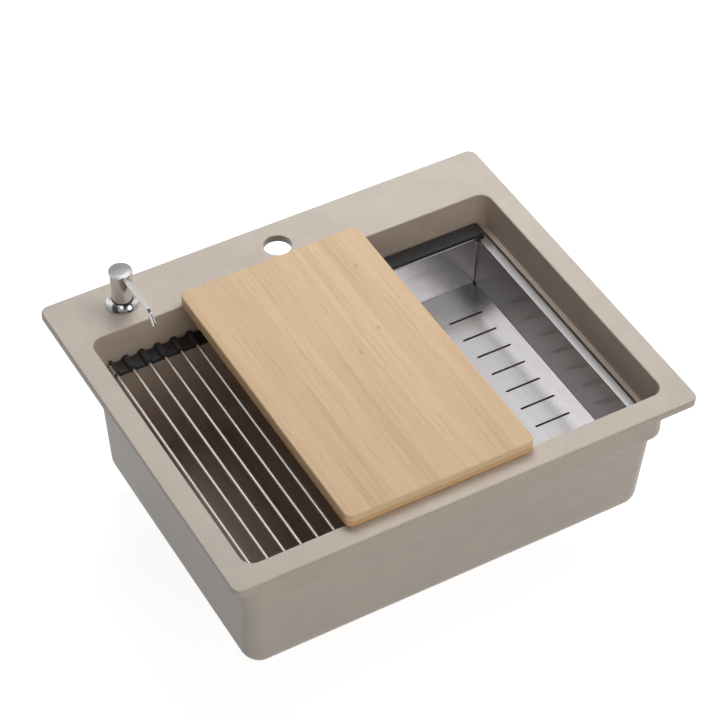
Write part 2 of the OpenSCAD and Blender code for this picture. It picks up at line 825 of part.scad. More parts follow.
// Compression spring between the piston and the housing's floor, swept as one tube
module pump_spring() {
    rings = [for (k = [0 : coil_steps]) let (
            a = 360 * spring_turns * k / coil_steps,
            c = coil_point(k / coil_steps),
            out = [cos(a), sin(a), 0],
            slope = atan(coil_rise / (2 * PI * spring_r)),
            up = [sin(slope) * sin(a), -sin(slope) * cos(a), cos(slope)]
        )
        for (j = [0 : coil_sides - 1])
            let (b = 360 * j / coil_sides)
            c + wire_r * (cos(b) * out + sin(b) * up)
    ];
    sides = [for (k = [0 : coil_steps - 1]) for (j = [0 : coil_sides - 1])
        let (
            p = k * coil_sides + j,
            q = k * coil_sides + (j + 1) % coil_sides
        )
        for (t = [[p, q + coil_sides, q], [p, p + coil_sides, q + coil_sides]]) t
    ];
    first = [for (j = [1 : coil_sides - 2]) [0, j, j + 1]];
    base = coil_steps * coil_sides;
    last = [for (j = [1 : coil_sides - 2]) [base, base + j + 1, base + j]];
    color(steel_colour) at_dispenser() polyhedron(points = rings, faces = concat(sides, first, last));
}

// Ball that closes the pump's inlet
module inlet_ball() {
    color(steel_colour) at_dispenser()
        translate([0, 0, spring_z0 + sqrt(ball_r * ball_r - inlet_r * inlet_r)]) sphere(ball_r, $fn = 32);
}

module dip_tube() {
    z0 = bottle_z0 + bottle_t + tube_gap;
    color(clear_colour) at_dispenser() translate([0, 0, z0]) ring(tube_r, tube_bore_r, housing_z0 - z0);
}

// Bottle that screws on to the shank from below, turned as one closed outline
module soap_bottle() {
    neck_in = shank_r + run_gap;
    neck_out = neck_in + neck_t;
    neck_z0 = bottle_z1 - neck_l;
    side_z1 = neck_z0 - bottle_shoulder;
    foot_x = bottle_r - bottle_foot_r;
    foot_z = bottle_z0 + bottle_foot_r;
    in_r = bottle_foot_r - bottle_t;
    steps = 8;
    turn = 90 / steps;
    out_r = bottle_foot_r;
    outside = [for (k = [0 : steps]) [foot_x + out_r * cos(k * turn), foot_z - out_r * sin(k * turn)]];
    inside = [for (k = [steps : -1 : 0]) [foot_x + in_r * cos(k * turn), foot_z - in_r * sin(k * turn)]];
    color(clear_colour) at_dispenser() rotate_extrude() polygon(concat(
        [[neck_in, bottle_z1], [neck_out, bottle_z1], [neck_out, neck_z0], [bottle_r, side_z1]],
        outside,
        [[0, bottle_z0], [0, bottle_z0 + bottle_t]],
        inside,
        [[bottle_r - bottle_t, side_z1], [neck_in, neck_z0]]
    ));
}

// Carries its children to the waste's axis
module at_waste() {
    translate([0, mid_y, 0]) children();
}

// Pressed flange and cup of the strainer
module waste_flange() {
    under = flange_top_z - cup_t;
    color(steel_colour) at_waste() difference() {
        rotate_extrude() polygon([
            [0, cup_z0 - well_depth - cup_t], [well_r + cup_t, cup_z0 - well_depth - cup_t],
            [well_r + cup_t, cup_z0 - cup_t], [cup_in_r + cup_t, cup_z0 - cup_t],
            [cup_in_r + cup_t, shelf_z - cup_t], [cup_r, shelf_z - cup_t], [cup_r, under],
            [waste_flange_r, under], [waste_flange_r, under + cup_t / 2],
            [waste_flange_r - 2 * cup_t, flange_top_z], [cup_r, flange_top_z],
            [cup_r - cup_t, flange_top_z - cup_t],
            [cup_r - cup_t, shelf_z], [cup_in_r, shelf_z], [cup_in_r, cup_z0],
            [well_r, cup_z0], [well_r, cup_z0 - well_depth], [0, cup_z0 - well_depth]
        ]);
        translate([0, 0, cup_z0 - well_depth - cup_t - over])
            cylinder(h = cup_t + 2 * over, r = screw_r + seat_gap);
        for (k = [0 : drain_count - 1])
            rotate([0, 0, k * 360 / drain_count]) translate([drain_ring_r, 0, cup_z0 - cup_t - over])
                cylinder(h = cup_t + 2 * over, r = drain_r);
    }
}

module flange_gasket() {
    color(rubber_colour) at_waste() translate([0, 0, seat_z])
        ring(waste_flange_r - gasket_inset, waste_hole_r + gasket_inset, gasket_t);
}

module body_gasket() {
    color(rubber_colour) at_waste() translate([0, 0, body_z1])
        ring(body_flange_r - gasket_inset, waste_hole_r + gasket_inset, body_gasket_t);
}

// Plastic body with its funnel, threaded outlet, screw post and hose spigot
module waste_body() {
    r = body_in_r + body_t;
    flange_z0 = body_z1 - body_flange_t;
    post_z1 = cup_z0 - well_depth - cup_t;
    color(plastic_colour) at_waste() difference() {
        union() {
            difference() {
                union() {
                    rotate_extrude() polygon([
                        [0, outlet_z0], [outlet_r, outlet_z0], [outlet_r, body_z0 - funnel_h],
                        [outlet_r + body_t, body_z0 - funnel_h], [r, body_z0], [r, flange_z0],
                        [body_flange_r, flange_z0], [body_flange_r, body_z1], [0, body_z1]
                    ]);
                    translate([0, 0, inlet_z]) rotate([-90, 0, 0]) {
                        cylinder(h = r + stop_t, r = stop_r);
                        cylinder(h = r + stop_t + spigot_l, r = spigot_r);
                    }
                }
                rotate_extrude() polygon([
                    [0, outlet_z0 - over], [outlet_bore_r, outlet_z0 - over],
                    [outlet_bore_r, body_z0 - funnel_h + body_t], [body_in_r, body_z0 + body_t],
                    [body_in_r, body_z1 + over], [0, body_z1 + over]
                ]);
            }
            translate([0, 0, body_z0 - funnel_h]) cylinder(h = post_z1 - body_z0 + funnel_h, r = post_r);
            for (a = [0, 90])
                rotate([0, 0, a]) translate([-outlet_r, -arm_t / 2, body_z0 - funnel_h])
                    cube([2 * outlet_r, arm_t, funnel_h]);
        }
        translate([0, 0, body_z0 - funnel_h - over])
            cylinder(h = post_z1 - body_z0 + funnel_h + 2 * over, r = screw_r + run_gap);
        translate([0, body_in_r - over, inlet_z]) rotate([-90, 0, 0])
            cylinder(h = body_t + stop_t + spigot_l + 2 * over, r = spigot_bore_r);
    }
}

// Long screw that draws the flange and the body together
module waste_screw() {
    z1 = cup_z0 - well_depth;
    z0 = body_z0 - funnel_h / 2;
    color(steel_colour) at_waste() difference() {
        union() {
            translate([0, 0, z0]) cylinder(h = z1 - z0, r = screw_r);
            translate([0, 0, z1])
                cylinder(h = screw_head_t, r1 = screw_head_r, r2 = screw_head_r * screw_taper_share);
        }
        translate([-screw_head_r - over, -screw_slot / 2, z1 + screw_head_t - screw_slot])
            cube([2 * (screw_head_r + over), screw_slot, screw_slot + over]);
    }
}

// Perforated basket that hangs on the cup's shelf
module strainer_basket() {
    row_shares = [0.42, 0.78];
    row_holes = [8, 14];
    hole_r = 2.2;
    side_holes = 16;
    t = basket_wall;
    color(steel_colour) at_waste() difference() {
        rotate_extrude() polygon([
            [0, basket_z0], [basket_foot_r, basket_z0], [basket_r, shelf_z], [basket_rim_r, shelf_z],
            [basket_rim_r, shelf_z + t], [basket_r - t, shelf_z + t],
            [basket_foot_r - t, basket_z0 + t], [0, basket_z0 + t]
        ]);
        translate([0, 0, basket_z0 - over]) cylinder(h = t + 2 * over, r = stem_rod_r + run_gap);
        for (row = [0, 1])
            for (k = [0 : row_holes[row] - 1])
                rotate([0, 0, k * 360 / row_holes[row]])
                    translate([row_shares[row] * (basket_foot_r - t), 0, basket_z0 - over])
                        cylinder(h = t + 2 * over, r = hole_r);
        for (k = [0 : side_holes - 1])
            rotate([0, 0, k * 360 / side_holes])
                translate([basket_foot_r / 2, 0, (basket_z0 + shelf_z) / 2]) rotate([0, 90, 0])
                    cylinder(h = basket_rim_r, r = hole_r);
    }
}

// Knob and stem of the basket, with a shoulder that clamps it to the basket's floor
module strainer_stem() {
    knob_z = shelf_z + knob_gap;
    color(steel_colour) at_waste() {
        translate([0, 0, seal_z0 + seal_t / 2]) cylinder(h = knob_z - seal_z0 - seal_t / 2, r = stem_rod_r);
        translate([0, 0, basket_z0 + basket_wall]) cylinder(h = stem_collar_h, r = stem_collar_r);
        translate([0, 0, seal_z0 + seal_t])
            cylinder(h = basket_z0 - seal_z0 - seal_t, r = stem_collar_r);
        translate([0, 0, knob_z]) rotate_extrude() difference() {
            square([knob_r, knob_h]);
            translate([knob_r, knob_h * knob_waist_share]) circle(knob_waist_r);
        }
    }
}

// Rubber disc that closes the cup's drain holes
module strainer_seal() {
    color(rubber_colour) at_waste() translate([0, 0, seal_z0]) difference() {
        cylinder(h = seal_t, r1 = seal_r, r2 = seal_r - seal_t);
        translate([0, 0, seal_t / 2]) cylinder(h = seal_t, r = stem_rod_r + run_gap);
    }
}

// Carries its children to the overflow's axis, with +Z towards the bowl
module at_overflow(y) {
    translate([0, y, overflow_z]) rotate([90, 0, 0]) children();
}

// Domed cover with three slots, and the short tube that centres it
module overflow_cover() {
    color(steel_colour) at_overflow(overflow_y - mouth_lean) difference() {
        union() {
            rotate_extrude() difference() {
                square([cover_r, cover_t]);
                translate([cover_r, cover_t]) rotate(45) square(cover_t, center = true);
            }
            translate([0, 0, -wall]) cylinder(h = wall + cover_t / 2, r = cover_tube_r);
        }
        difference() {
            translate([0, 0, -wall - over]) cylinder(h = wall + over, r = cover_tube_r - cover_tube_t);
            translate([0, 0, -wall]) cylinder(h = wall + over, r = cover_boss_r);
        }
        difference() {
            for (k = [-1 : 1])
                translate([0, k * 2 * cover_slot_h, 0])
                    cube([2 * cover_tube_r * cover_slot_share, cover_slot_h, 2 * cover_t + over],
                         center = true);
            cylinder(h = 2 * cover_t + 2 * over, r = cover_boss_r, center = true);
        }
        translate([0, 0, -wall - over]) cylinder(h = wall + cover_t + 2 * over, r = cover_screw_r + run_gap);
        translate([0, 0, cover_t - cover_head_t])
            cylinder(h = cover_head_t + over, r = cover_head_r + run_gap);
    }
}

module overflow_gasket() {
    color(rubber_colour) at_overflow(belt_y1 + elbow_gasket_t)
        ring(elbow_flange_r - gasket_inset, overflow_hole_r + seat_gap, elbow_gasket_t);
}

// Elbow behind the wall, with its spigot pointing down
module overflow_elbow() {
    y = belt_y1 + elbow_gasket_t;
    inner_r = elbow_r - elbow_t;
    color(plastic_colour) difference() {
        union() {
            difference() {
                union() {
                    at_overflow(y + elbow_flange_t) cylinder(h = elbow_flange_t, r = elbow_flange_r);
                    at_overflow(y + elbow_l) cylinder(h = elbow_l, r = elbow_r);
                    translate([0, y + elbow_l - elbow_r, overflow_z - elbow_r - stop_t])
                        cylinder(h = elbow_r + stop_t, r = stop_r);
                    translate([0, y + elbow_l - elbow_r, overflow_z - elbow_drop])
                        cylinder(h = elbow_drop, r = spigot_r);
                }
                at_overflow(y + elbow_l - elbow_t) cylinder(h = elbow_l, r = inner_r);
                translate([0, y + elbow_l - elbow_r, overflow_z - elbow_drop - over])
                    cylinder(h = elbow_drop + over, r = spigot_bore_r);
            }
            at_overflow(y + elbow_l - elbow_t / 2) cylinder(h = elbow_l - elbow_t / 2, r = elbow_post_r);
        }
        at_overflow(y + elbow_l - elbow_t) cylinder(h = elbow_l, r = cover_screw_r + run_gap);
    }
}

module overflow_screw() {
    y = overflow_y - mouth_lean;
    color(steel_colour) at_overflow(y) {
        translate([0, 0, cover_t - cover_head_t]) cylinder(h = cover_head_t, r = cover_head_r);
        translate([0, 0, y - belt_y1 - elbow_gasket_t - elbow_l / 2])
            cylinder(h = belt_y1 + elbow_gasket_t + elbow_l / 2 - y + cover_t - cover_head_t,
                     r = cover_screw_r);
    }
}

sink_basin();
cutting_board();
rack_rods();
rack_strip_back();
rack_strip_front();
roll_rod(1);  // roll_rod_1
roll_rod(2);  // roll_rod_2
roll_rod(3);  // roll_rod_3
roll_rod(4);  // roll_rod_4
roll_link_back(1);  // roll_link_back_1
roll_link_back(2);  // roll_link_back_2
roll_link_back(3);  // roll_link_back_3
roll_link_back(4);  // roll_link_back_4
roll_link_front(1);  // roll_link_front_1
roll_link_front(2);  // roll_link_front_2
roll_link_front(3);  // roll_link_front_3
roll_link_front(4);  // roll_link_front_4
colander_tray();
colander_rail_back();
colander_rail_front();
dispenser_collar();
dispenser_washer();
dispenser_nut();
dispenser_head();
dispenser_spout();
pump_housing();
pump_guide();
pump_stem();
pump_spring();
inlet_ball();
dip_tube();
soap_bottle();
waste_flange();
flange_gasket();
body_gasket();
waste_body();
waste_screw();
strainer_basket();
strainer_stem();
strainer_seal();
overflow_cover();
overflow_gasket();
overflow_elbow();
overflow_screw();
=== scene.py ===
"""Dresses a workstation kitchen sink: a stone shell with a deck, a board on its rim, a
roll-up rack and a colander on its ledge, a soap dispenser, a basket waste and an overflow.

Sizes are in millimetres, in the frame of the solids: z = 0 is the underside of the rim, the
origin is the centre of its plan, x runs to the right and y to the back.
"""

import logging
import math
from dataclasses import dataclass
from enum import Enum

import bmesh
import bpy
import numpy as np
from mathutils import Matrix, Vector
from mathutils.geometry import delaunay_2d_cdt


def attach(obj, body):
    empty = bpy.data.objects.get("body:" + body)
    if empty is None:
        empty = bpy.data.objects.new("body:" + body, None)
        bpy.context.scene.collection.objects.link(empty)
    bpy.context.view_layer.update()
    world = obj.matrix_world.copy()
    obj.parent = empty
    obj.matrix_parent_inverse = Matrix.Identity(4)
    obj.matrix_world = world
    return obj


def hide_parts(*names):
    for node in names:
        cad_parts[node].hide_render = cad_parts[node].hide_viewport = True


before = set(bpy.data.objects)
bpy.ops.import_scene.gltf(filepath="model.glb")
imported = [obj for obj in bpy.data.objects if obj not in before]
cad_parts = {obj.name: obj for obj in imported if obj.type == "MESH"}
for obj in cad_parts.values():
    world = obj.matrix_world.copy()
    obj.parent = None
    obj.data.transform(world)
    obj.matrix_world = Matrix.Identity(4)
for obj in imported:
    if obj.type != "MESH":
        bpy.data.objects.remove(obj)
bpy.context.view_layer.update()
LOG = logging.getLogger("sink")
MM = 0.001
WELD = 4e-6
SOLID_WELD = 2e-6
SLIVER = 1e-6
LEVEL_ANGLE = 0.5
BEVEL_ANGLE = 34
SNAP = 1e-5
SHARP = 1e-4
TINY = 1e-9
UP = (0.0, 0.0, 1.0)
Socket = bpy.types.NodeSocket
Pair = tuple[float, float]
Triple = tuple[float, float, float]


# Surfaces


class Axis(Enum):
    """Direction in which a turned piece points: its own two cross axes and its height."""

    Y = ((0, 0, 1), (1, 0, 0), (0, 1, 0))
    Z = ((1, 0, 0), (0, 1, 0), (0, 0, 1))


@dataclass(frozen=True)
class Plan:
    """Rounded rectangle seen from above, with corner radius r."""

    x0: float
    x1: float
    y0: float
    y1: float
    r: float

    def inset(self, s: float) -> "Plan":
        """The same outline moved inwards by s, or outwards where s is negative."""
        return Plan(self.x0 + s, self.x1 - s, self.y0 + s, self.y1 - s, self.r - s)

    def blend(self, other: "Plan", t: float) -> "Plan":
        """The outline at share t of the way to another one."""
        mine = np.array([self.x0, self.x1, self.y0, self.y1, self.r])
        theirs = np.array([other.x0, other.x1, other.y0, other.y1, other.r])
        return Plan(*(mine + (theirs - mine) * t))


def rings(sections: list[tuple[Plan, float]], corner: int = 14, side: int = 10) -> np.ndarray:
    """Points of a stack of rounded rectangles, one ring for each section.

    A corner's point is its arc's centre + r (cos a, sin a) for a from 90 k to 90 (k + 1)
    degrees. A side's points run evenly from one corner's last point to the next one's first.

    Args:
        sections: Outline and height of each ring.
        corner: Steps round a corner.
        side: Steps along a side.

    Returns:
        Array of sections x points x 3.
    """
    plans = np.array([[p.x0, p.x1, p.y0, p.y1, max(p.r, SHARP), z] for p, z in sections])
    x0, x1, y0, y1, r, z = plans.T[:, :, None]
    centres = np.stack([np.concatenate([x1 - r, x0 + r, x0 + r, x1 - r], 1),
                        np.concatenate([y1 - r, y1 - r, y0 + r, y0 + r], 1)], -1)
    a = np.radians(90 * np.arange(4)[:, None] + np.linspace(0, 90, corner + 1)[None, :])
    arc = centres[:, :, None] + r[:, :, None, None] * np.stack([np.cos(a), np.sin(a)], -1)
    t = (np.arange(1, side) / side)[None, None, :, None]
    start, end = arc[:, :, -1:], np.roll(arc, -1, 1)[:, :, :1]
    flat = np.concatenate([arc, start + (end - start) * t], 2).reshape(len(plans), -1, 2)
    return np.concatenate([flat, np.broadcast_to(z[:, :, None], flat.shape[:2] + (1,))], 2)


def quarter(r: float, steps: int) -> tuple[np.ndarray, np.ndarray]:
    """Distances of a quarter round from its two tangents: r (1 - sin a) and r (1 - cos a)."""
    a = np.linspace(0, np.pi / 2, steps + 1)
    return r * (1 - np.sin(a)), r * (1 - np.cos(a))


def edge_round(plan: Plan, z: float, e: float, top: bool = True, opening: bool = False,
               steps: int = 5) -> list:
    """Sections of a rounded edge, from the flat to the side.

    At angle a the outline is moved by e (1 - sin a) and lies e (1 - cos a) below the top, or
    above the bottom.

    Args:
        plan: Outline of the side.
        z: Height of the flat.
        e: Radius of the rounding.
        top: True for an upper edge.
        opening: True where the material lies outside the outline.
        steps: Steps round the edge.

    Returns:
        List of (outline, height).
    """
    away, down = quarter(e, steps)
    return [(plan.inset(-s if opening else s), z + (-h if top else h)) for s, h in zip(away, down)]


def unit(v: np.ndarray) -> np.ndarray:
    """Vectors scaled to length 1."""
    return v / np.maximum(np.linalg.norm(v, axis=-1, keepdims=True), TINY)


def rounded(points: list[Triple], steps: int = 5) -> np.ndarray:
    """Outline whose corners are rounded by arcs.

    For a corner P with unit directions u and v to its neighbours and half angle h between
    them, the arc's centre is P + (u + v)/|u + v| R / sin h, and its points are the slerp of
    the two radii that end at P + u R / tan h and P + v R / tan h.

    Args:
        points: (across, height, radius) of each corner.
        steps: Steps of each arc.

    Returns:
        Array of points x 2.
    """
    table = np.array(points, float)
    p, r = table[:, :2], table[:, 2]
    u, v = unit(np.roll(p, 1, 0) - p), unit(np.roll(p, -1, 0) - p)
    half = np.arccos(np.clip((u * v).sum(1), -0.999999, 0.999999)) / 2
    centre = p + unit(u + v) * (r / np.sin(half))[:, None]
    a = p + u * (r / np.tan(half))[:, None] - centre
    b = p + v * (r / np.tan(half))[:, None] - centre
    t = np.linspace(0, 1, steps + 1)[None, :, None]
    s = (np.pi - 2 * half)[:, None, None]
    arc = centre[:, None] + (np.sin((1 - t) * s) * a[:, None] + np.sin(t * s) * b[:, None]) / np.sin(s)
    return arc.reshape(-1, 2)


def turned(outline: np.ndarray, centre: Triple, axis: Axis = Axis.Z, steps: int = 72) -> np.ndarray:
    """Surface of revolution: centre + h up + r (cos a, sin a) for each (r, h) of an outline.

    Args:
        outline: Array of points x 2, radius and height.
        centre: Point on the axis where the height is zero.
        axis: Direction of the height.
        steps: Steps round the axis.

    Returns:
        Array of points x steps x 3.
    """
    across, other, up = (np.array(v, float) for v in axis.value)
    a = np.linspace(0, 2 * np.pi, steps, endpoint=False)[None, :, None]
    r, h = outline[:, 0][:, None, None], outline[:, 1][:, None, None]
    return np.array(centre, float) + up * h + r * (np.cos(a) * across + np.sin(a) * other)


def swept(path: np.ndarray, side: Triple, radius: np.ndarray, steps: int = 32) -> np.ndarray:
    """Tube round a flat path: path + radius (cos a side + sin a (tangent x side)).

    Args:
        path: Array of points x 3.
        side: Unit direction square to the path's plane.
        radius: Radius at each point.
        steps: Steps round the tube.

    Returns:
        Array of points x steps x 3.
    """
    tangent = unit(np.gradient(path, axis=0))
    e1 = np.broadcast_to(np.array(side, float), path.shape)
    e2 = np.cross(tangent, e1)
    a = np.linspace(0, 2 * np.pi, steps, endpoint=False)[None, :, None]
    return path[:, None] + radius[:, None, None] * (np.cos(a) * e1[:, None] + np.sin(a) * e2[:, None])


def inside(points: np.ndarray, loop: np.ndarray) -> np.ndarray:
    """Finds the points in a closed loop, from which a ray to +x crosses it an odd number of times.

    Args:
        points: Array of points x 2.
        loop: Array of corners x 2.

    Returns:
        Mask of the points.
    """
    x, y = points[:, 0, None], points[:, 1, None]
    ax, ay = loop[:, 0][None], loop[:, 1][None]
    bx, by = np.roll(loop[:, 0], -1)[None], np.roll(loop[:, 1], -1)[None]
    spans = (ay > y) != (by > y)
    with np.errstate(divide="ignore", invalid="ignore"):
        cross = x < (bx - ax) * (y - ay) / (by - ay) + ax
    return (spans & cross).sum(1) % 2 == 1


class Draft:
    """A mesh in the making, gathered from patches in millimetres."""

    def __init__(self) -> None:
        """Starts empty."""
        self.points: list[np.ndarray] = []
        self.faces: list[np.ndarray] = []
        self.count = 0

    def add(self, points: np.ndarray, faces: np.ndarray) -> None:
        """Adds points and the faces that join them."""
        self.points.append(points.reshape(-1, 3))
        self.faces.append(np.asarray(faces, int) + self.count)
        self.count += self.points[-1].shape[0]

    def grid(self, p: np.ndarray, wrap: bool = True, skip: np.ndarray | None = None) -> None:
        """Adds a patch of quads.

        Args:
            p: Array of rows x columns x 3.
            wrap: True where the last column joins the first.
            skip: Mask of columns left out.
        """
        rows, cols = p.shape[:2]
        i = np.arange(rows * cols).reshape(rows, cols)
        if wrap:
            i = np.hstack([i, i[:, :1]])
        quads = np.stack([i[:-1, :-1], i[:-1, 1:], i[1:, 1:], i[1:, :-1]], -1)
        if skip is not None:
            quads = quads[:, ~skip]
        self.add(p, quads.reshape(-1, 4))

    def fan(self, loop: np.ndarray, centre: np.ndarray) -> None:
        """Closes a loop with triangles to a point."""
        n = len(loop)
        i = np.arange(n)
        self.add(np.vstack([loop, centre]), np.stack([i, (i + 1) % n, np.full(n, n)], 1))

    def flat(self, outer: np.ndarray, holes: list[np.ndarray] | None = None) -> None:
        """Fills a level outline with triangles and leaves its holes open.

        Args:
            outer: Points of the outline.
            holes: Points of each hole.
        """
        loops = [outer] + (holes or [])
        ends = np.cumsum([len(loop) for loop in loops])
        starts = ends - [len(loop) for loop in loops]
        edges = [(int(s + k), int(s + (k + 1) % (e - s))) for s, e in zip(starts, ends) for k in range(e - s)]
        out = delaunay_2d_cdt([Vector(p[:2]) for p in np.vstack(loops)], edges, [], 1, SNAP)
        xy = np.array([v[:] for v in out[0]])
        tris = np.array([f[:] for f in out[2]], int)
        middle = xy[tris].mean(1)
        keep = inside(middle, outer[:, :2])
        for hole in loops[1:]:
            keep &= ~inside(middle, hole[:, :2])
        self.add(np.column_stack([xy, np.full(len(xy), outer[0, 2])]), tris[keep])

    def block(self, body: np.ndarray) -> None:
        """Adds a stack of rings and closes both of its ends."""
        self.grid(body)
        self.flat(body[0])
        self.flat(body[-1])

    def mesh(self, name: str, closed: bool = True) -> bpy.types.Mesh:
        """Makes the mesh, joins its seams and points its faces outwards, or mostly up.

        Args:
            name: Name of the mesh.
            closed: True for a closed shell, False for a sheet that is to face up.

        Returns:
            The mesh, in metres.
        """
        mesh = bpy.data.meshes.new(name)
        faces = [row for block in self.faces for row in block.tolist()]
        mesh.from_pydata((np.vstack(self.points) * MM).tolist(), [], faces)
        bm = bmesh.new()
        bm.from_mesh(mesh)
        bmesh.ops.remove_doubles(bm, verts=bm.verts, dist=WELD)
        bmesh.ops.dissolve_degenerate(bm, dist=SLIVER, edges=bm.edges)
        bmesh.ops.recalc_face_normals(bm, faces=bm.faces)
        if not closed and sum(f.normal.z * f.calc_area() for f in bm.faces) < 0:
            bmesh.ops.reverse_faces(bm, faces=bm.faces)
        loose = sum(len(e.link_faces) != 2 for e in bm.edges)
        if closed and loose:
            LOG.warning("%s: %d open edges", name, loose)
        bm.to_mesh(mesh)
        bm.free()
        return mesh


# Pieces


class Shade(Enum):
    """How a piece's edges are shaded, by the angle past which an edge stays crisp."""

    CRISP = 24
    SOFT = 40


@dataclass(frozen=True)
class Coat:
    """A material and the name of a slot of the model; the name is not used."""

    slot: str
    material: bpy.types.Material


@dataclass
class Piece:
    """A finished piece: its body, its coat, and the solid that it stands for."""

    name: str
    body: str
    coat: Coat
    node: str
    shade: Shade = Shade.SOFT
    bevel: float = 0.0
    sheet: float = 0.0

    def place(self, mesh: bpy.types.Mesh) -> bpy.types.Object:
        """Puts the mesh into the scene, on its body, in place of its solid.

        Args:
            mesh: The mesh, with its place in its points.

        Returns:
            The object, unturned at the origin.
        """
        mesh.materials.clear()
        mesh.materials.append(self.coat.material)
        mesh.polygons.foreach_set("use_smooth", np.ones(len(mesh.polygons), bool))
        mesh.set_sharp_from_angle(angle=math.radians(self.shade.value))
        obj = bpy.data.objects.new(self.name, mesh)
        bpy.context.scene.collection.objects.link(obj)
        if self.sheet:
            wall = obj.modifiers.new("sheet", "SOLIDIFY")
            wall.thickness = self.sheet * MM
            wall.offset = -1
            wall.use_even_offset = True
        if self.bevel:
            edge = obj.modifiers.new("edge", "BEVEL")
            edge.width = self.bevel * MM
            edge.segments = 2
            edge.limit_method = "ANGLE"
            edge.angle_limit = math.radians(BEVEL_ANGLE)
            edge.harden_normals = True
            edge.use_clamp_overlap = True
        weigh = obj.modifiers.new("weigh", "WEIGHTED_NORMAL")
        weigh.keep_sharp = True
        weigh.weight = 50
        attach(obj, self.body)
        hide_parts(self.node)
        LOG.info("%s: %d faces on %s", self.name, len(mesh.polygons), self.body)
        return obj

    def build(self, draft: Draft) -> bpy.types.Object:
        """Puts a draft into the scene."""
        return self.place(draft.mesh(self.name, closed=not self.sheet))


def welded(node: str) -> bpy.types.Mesh:
    """Copy of a solid's mesh with its loose triangles joined.

    Args:
        node: Name of the solid.

    Returns:
        The joined mesh.
    """
    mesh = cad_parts[node].data.copy()
    mesh.name = node + "_welded"
    bm = bmesh.new()
    bm.from_mesh(mesh)
    bmesh.ops.remove_doubles(bm, verts=bm.verts, dist=SOLID_WELD)
    bmesh.ops.dissolve_degenerate(bm, dist=SLIVER, edges=bm.edges)
    bmesh.ops.dissolve_limit(bm, angle_limit=math.radians(LEVEL_ANGLE), verts=bm.verts, edges=bm.edges)
    bm.to_mesh(mesh)
    bm.free()
    if mesh.has_custom_normals:
        mesh.attributes.remove(mesh.attributes["custom_normal"])
    return mesh


def dress_solids(rows: list[tuple[str, str, Coat, float]]) -> None:
    """Dresses pieces from their own solids.

    Args:
        rows: Solid, body, coat and width of the bevel of each piece.
    """
    for node, body, coat, bevel in rows:
        Piece(node + "_dressed", body, coat, node, bevel=bevel).place(welded(node))


# Shader nodes


class Tree:
    """Lays nodes into a tree and wires them by socket name or number."""

    def __init__(self, tree: bpy.types.NodeTree) -> None:
        """Takes the tree to lay nodes into."""
        self.tree = tree

    def lay(self, kind: str, wires: dict | None = None, **settings: object) -> bpy.types.Node:
        """Adds a node.

        Args:
            kind: Type of the node, without its ShaderNode prefix.
            wires: Value or socket for each input, by name or number.
            settings: Settings of the node itself.

        Returns:
            The node.
        """
        node = self.tree.nodes.new("ShaderNode" + kind)
        for key, value in settings.items():
            setattr(node, key, value)
        for key, value in (wires or {}).items():
            socket = node.inputs[key]
            if isinstance(value, Socket):
                self.tree.links.new(value, socket)
            else:
                socket.default_value = value
        return node

    def math(self, operation: str, a: object, b: object = 0.5, clamp: bool = False) -> Socket:
        """Result of a sum on one or two values."""
        return self.lay("Math", {0: a, 1: b}, operation=operation, use_clamp=clamp).outputs[0]

    def vector(self, operation: str, *inputs: object) -> Socket:
        """Result of a sum on vectors: a number for a length or a dot product, else a vector."""
        node = self.lay("VectorMath", dict(enumerate(inputs)), operation=operation)
        return node.outputs["Value" if operation in ("LENGTH", "DOT_PRODUCT") else "Vector"]

    def parts(self, place: Socket) -> bpy.types.NodeOutputs:
        """X, Y and Z of a vector."""
        return self.lay("SeparateXYZ", {0: place}).outputs

    def scaled(self, value: Socket, low: float, high: float, to_low: float = 0.0,
               to_high: float = 1.0) -> Socket:
        """Value carried from one range to another and held there."""
        wires = {"Value": value, "From Min": low, "From Max": high, "To Min": to_low, "To Max": to_high}
        return self.lay("MapRange", wires, clamp=True).outputs[0]

    def tint(self, factor: object, a: object, b: object, mode: str = "MIX") -> Socket:
        """Mix of two colours."""
        return self.lay("Mix", {0: factor, 6: a, 7: b}, data_type="RGBA", blend_type=mode).outputs[2]

    def noise(self, place: Socket, scale: object, detail: float = 2.0, rough: float = 0.5,
              warp: float = 0.0) -> Socket:
        """Soft noise between about 0.2 and 0.8."""
        wires = {"Vector": place, "Scale": scale, "Detail": detail, "Roughness": rough, "Distortion": warp}
        return self.lay("TexNoise", wires).outputs["Fac"]

    def stretched(self, place: Socket, scale: Triple) -> Socket:
        """Place scaled along each axis."""
        return self.lay("Mapping", {"Vector": place, "Scale": scale}).outputs[0]

    def ramp(self, value: Socket, stops: list[Pair], hard: bool = False) -> Socket:
        """Grey read from a row of stops.

        Args:
            value: Place on the row, from 0 to 1.
            stops: Place and level of each stop.
            hard: True for steps between the stops.

        Returns:
            The grey, as a colour.
        """
        node = self.lay("ValToRGB", {"Fac": value})
        node.color_ramp.interpolation = "CONSTANT" if hard else "LINEAR"
        bar = node.color_ramp.elements
        while len(bar) < len(stops):
            bar.new(0.5)
        for stop, (at, level) in zip(bar, stops):
            stop.position = at
            stop.color = grey(level)
        return node.outputs[0]

    def seen(self) -> Socket:
        """1 for what the camera sees, itself, mirrored or through something."""
        rays = self.lay("LightPath").outputs
        near = self.math("ADD", rays["Is Camera Ray"], rays["Is Glossy Ray"], True)
        return self.math("ADD", near, rays["Is Transmission Ray"], True)


def srgb(r: float, g: float, b: float) -> tuple:
    """Linear colour of a screen colour given from 0 to 255."""
    c = np.array([r, g, b]) / 255
    linear = np.where(c <= 0.04045, c / 12.92, ((c + 0.055) / 1.055) ** 2.4)
    return (*linear.tolist(), 1.0)


def grey(level: float) -> tuple:
    """Neutral colour of a level."""
    return (level, level, level, 1.0)


